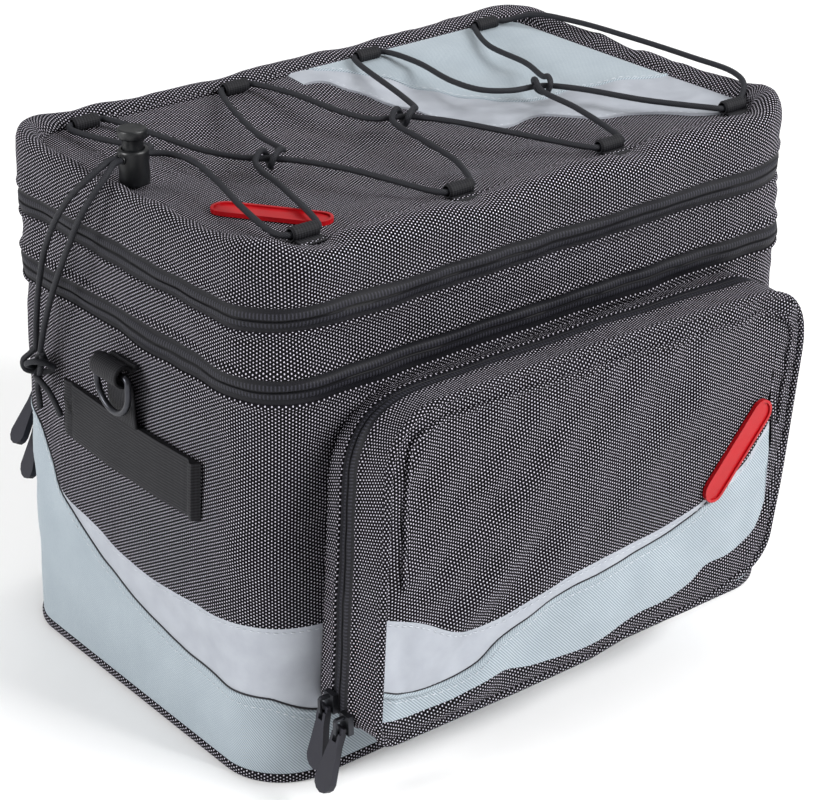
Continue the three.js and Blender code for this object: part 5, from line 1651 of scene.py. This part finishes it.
@dataclass
class EndWebbing:
    """The light strap, and the tabs with their carrying rings."""

    finishes: Finishes

    def build(self) -> None:
        """Make the strap, both tabs and both rings."""
        self._strap()
        for end, direction in (("lock_end", -1), ("far_end", 1)):
            low, high = (Vector(corner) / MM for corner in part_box(f"ring_tab_{end}"))
            self._tab(end, direction, low, high)
            self._ring(end, direction, low, high)

    def _strap(self) -> None:
        """Make the light strap, with its folded front end and two rows of stitches."""
        grid: Grid = []
        uvs: Uvs = []
        count = 60
        for i in range(count + 1):
            y = mix(STRAP_BACK, STRAP_FRONT, i / count)
            turn = turn_at_left(y)
            bow = math.sin(math.pi * i / count)
            fold = smoothstep(STRAP_FRONT + 6.5, STRAP_FRONT + 5.5, y)
            dip = 0.9 * math.exp(-(((y - STRAP_FRONT - STRAP_SEAMS[0]) / 1.2) ** 2))
            dip += 0.9 * math.exp(-(((y - STRAP_BACK + STRAP_SEAMS[1]) / 1.5) ** 2))
            lift = GAP + bow + WEBBING_THICKNESS + 2.0 * fold - dip
            wave = 0.5 * noise.noise(Vector((y / 22, 5, 0)))
            low, high = STRAP_LOW + 0.4 * wave, STRAP_LOW + STRAP_WEBBING + 0.4 * wave
            column = [on_wall(turn, low, -GAP)]
            for k in range(9):
                column.append(on_wall(turn, mix(low, high, k / 8), -lift - wave + (0.3 if k in (0, 8) else 0)))
            column.append(on_wall(turn, high, -GAP))
            if i in (0, count):
                column = [on_wall(turn, p.z, -GAP) for p in column]
            grid.append(column)
            uvs.append([(-y, p.z) for p in column])
        pair_up(sheet("light_loop", grid, uvs, self.finishes.webbing), Slot.WEBBING, "light_strap")
        for name, y in (("front", STRAP_FRONT + STRAP_SEAMS[0]), ("back", STRAP_BACK - STRAP_SEAMS[1])):
            turn = turn_at_left(y)
            heights = [mix(STRAP_LOW + 1, STRAP_LOW + STRAP_WEBBING - 1, k / 12) for k in range(13)]
            path = [on_wall(turn, z, -GAP - WEBBING_THICKNESS) for z in heights]
            self._sew(f"light_loop_{name}", path, -1)

    def _tab(self, end: str, direction: int, low: Vector, high: Vector) -> None:
        """Make a ring's tab.

        Args:
            end: The bag's end, lock_end or far_end.
            direction: -1 at the lock's end, 1 at the far end.
            low: Lowest corner of the CAD tab.
            high: Highest corner of the CAD tab.
        """
        wall = high.x if direction < 0 else low.x
        middle = (low.y + high.y) / 2
        foot = low.z
        bar = RING_WIRE / 2 + 0.4
        outer = bar + WEBBING_THICKNESS
        profile = [(0.2, foot), (1.9, foot), (2.8, foot + 0.3), (3.0, foot + 5), (3.1, foot + 14),
                   (3.6, RING_HEIGHT - 7), (4.4, RING_HEIGHT - 4.6), (5.8, RING_HEIGHT - outer - 0.4)]
        for k in range(15):
            angle = mix(-0.42, 0.94, k / 14) * math.pi
            profile.append((RING_STANDOFF + outer * math.cos(angle), RING_HEIGHT + outer * math.sin(angle)))
        profile += [(2.4, RING_HEIGHT + 1.5), (1.2, RING_HEIGHT + 2.6), (0.2, RING_HEIGHT + 2.4)]
        grid: Grid = []
        uvs: Uvs = []
        columns = 16
        for i in range(columns + 1):
            y = mix(-TAB_WEBBING / 2, TAB_WEBBING / 2, i / columns)
            tuck = 0.35 if i in (0, columns) else 0.0
            column = []
            run = 0.0
            marks = []
            for x, z in profile:
                place = Vector((wall + direction * (x - tuck), middle + y, z))
                run += (place - column[-1]).length if column else 0.0
                column.append(place)
                marks.append((run, y))
            grid.append(column)
            uvs.append(marks)
        piece = sheet(f"ring_tab_{end}_webbing", grid, uvs, self.finishes.webbing, direction > 0)
        thick = piece.modifiers.new("webbing_thickness", "SOLIDIFY")
        thick.thickness = 1.5 * MM
        thick.offset = -1
        pair_up(piece, Slot.WEBBING, f"ring_tab_{end}")
        path = [Vector((wall + direction * 3.1, middle + mix(-9.5, 9.5, k / 10), foot + 8.5)) for k in range(11)]
        self._sew(f"ring_tab_{end}", path, direction)

    def _sew(self, name: str, path: Sequence[Vector], direction: int) -> None:
        """Sew a row of dark stitches on webbing that faces along x."""
        normals = [Vector((direction, 0, 0))] * len(path)
        pair_up(stitches(f"stitches_{name}", path, normals, self.finishes.dark_thread_and_groove_shade, 2.4, 0.9), Slot.WEBBING)

    def _ring(self, end: str, direction: int, low: Vector, high: Vector) -> None:
        """Make a carrying ring with a straight bar, from the same values as its tab."""
        wall = high.x if direction < 0 else low.x
        middle = (low.y + high.y) / 2
        centre = Vector((wall + direction * RING_STANDOFF, middle, RING_HEIGHT))
        radius = RING_WIRE / 2
        half = TAB_WEBBING / 2 + 1.2 + radius
        points = [(mix(-half + 2.4, half - 2.4, k / 6), 0.0) for k in range(7)]
        points += [(half - 2.4 + 2.4 * math.sin(a), -2.4 + 2.4 * math.cos(a)) for a in (0.5, 1.05, 1.57)]
        points.append((half, -7))
        drop = RING_DROP - radius - 7
        points += [(half * math.cos(math.pi * k / 24), -7 - drop * math.sin(math.pi * k / 24)) for k in range(1, 24)]
        points.append((-half, -7))
        points += [(-half + 2.4 - 2.4 * math.sin(a), -2.4 + 2.4 * math.cos(a)) for a in (1.57, 1.05, 0.5)]
        path = [centre + Vector((0, y, z)) for y, z in points]
        piece = tube(f"ring_{end}", path, radius, self.finishes.metal, 16, True)
        pair_up(piece, Slot.METAL, f"carrying_ring_{end}", body=f"carrying_ring_{end}")


@dataclass
class Hardware:
    """Sliders, pulls and badges, which keep their CAD shapes with softened edges."""

    finishes: Finishes

    def build(self) -> None:
        """Dress the moulded and cast pieces."""
        f = self.finishes
        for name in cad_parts:
            if "slider" in name:
                dress(name, f.metal, 0.4)
            elif "_pull_" in name:
                dress(name, f.pull, 0.5)
            elif name.endswith("_badge"):
                dress(name, f.badge, 0.25)


# Studio


@dataclass(frozen=True)
class View:
    """Where the camera stands, in metres and degrees."""

    place: Point = (-0.6780, -0.8727, 0.6511)
    azimuth: float = -38.0
    elevation: float = 26.0
    roll: float = -0.4
    lens: float = 104.94


def make_camera(view: View) -> None:
    """Set up the camera."""
    camera = bpy.data.cameras.new("studio_camera")
    camera.lens = view.lens
    camera.sensor_width = 36.0
    camera.clip_end = 20.0
    made = bpy.data.objects.new("studio_camera", camera)
    bpy.context.scene.collection.objects.link(made)
    a, e, r = (math.radians(value) for value in (view.azimuth, view.elevation, view.roll))
    back = Vector((math.sin(a) * math.cos(e), -math.cos(a) * math.cos(e), math.sin(e)))
    right = Vector((math.cos(a), math.sin(a), 0))
    up = back.cross(right)
    turned_right = right * math.cos(r) + up * math.sin(r)
    turned_up = up * math.cos(r) - right * math.sin(r)
    matrix = Matrix((turned_right, turned_up, back)).transposed().to_4x4()
    matrix.translation = Vector(view.place)
    made.matrix_world = matrix
    bpy.context.scene.camera = made


def make_light(name: str, place: Sequence[float], size: float, power: float) -> None:
    """Add a soft area light that points at the bag's middle.

    Args:
        name: The light's name.
        place: Where it stands, in metres.
        size: The length of its sides, in metres.
        power: Its power in watts.
    """
    light = bpy.data.lights.new(name, "AREA")
    light.shape = "SQUARE"
    light.size = size
    light.energy = power
    made = bpy.data.objects.new(name, light)
    bpy.context.scene.collection.objects.link(made)
    made.location = Vector(place)
    made.rotation_euler = (Vector((0, 0, 0.13)) - Vector(place)).to_track_quat("-Z", "Y").to_euler()


FLOOR_REACH = 6.0
FLOOR_TOP = -0.0002
LIGHTS = (
    ("key", (0.9, -1.8, 1.5), 1.0, 78),
    ("top", (0.7, 0.5, 2.4), 1.2, 20),
    ("side", (-2.3, 0.5, 1.0), 1.0, 56),
)
SURROUND = 0.42


def make_studio(finishes: Finishes) -> None:
    """Add the pale floor, the soft lights and the surrounding light."""
    corners = ((-1, -1), (1, -1), (1, 1), (-1, 1))
    points = [Vector((x * FLOOR_REACH, y * FLOOR_REACH, FLOOR_TOP)) / MM for x, y in corners]
    floor = make_object("studio_floor", points, [(0, 1, 2, 3)], [(0.0, 0.0)] * 4, finishes.floor)
    for name, place, size, power in LIGHTS:
        make_light(name, place, size, power)
    world = bpy.data.worlds.new("studio_surround")
    world.use_nodes = True
    background = world.node_tree.nodes["Background"]
    background.inputs["Color"].default_value = linear("#ffffff")
    background.inputs["Strength"].default_value = SURROUND
    bpy.context.scene.world = world
    bpy.context.scene.view_settings.view_transform = "Standard"


def main() -> None:
    """Dress the whole bag."""
    logging.basicConfig(level=logging.INFO)
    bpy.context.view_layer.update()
    make_camera(View())
    finishes = make_finishes()
    for assembly in (
        Lacing(finishes),
        Body(finishes),
        Lid(finishes),
        Pocket(finishes, FRONT),
        Pocket(finishes, BACK),
        EndWebbing(finishes),
        Hardware(finishes),
    ):
        assembly.build()
        LOG.info("built %s", type(assembly).__name__)
    make_studio(finishes)


if __name__ == "__main__":
    main()
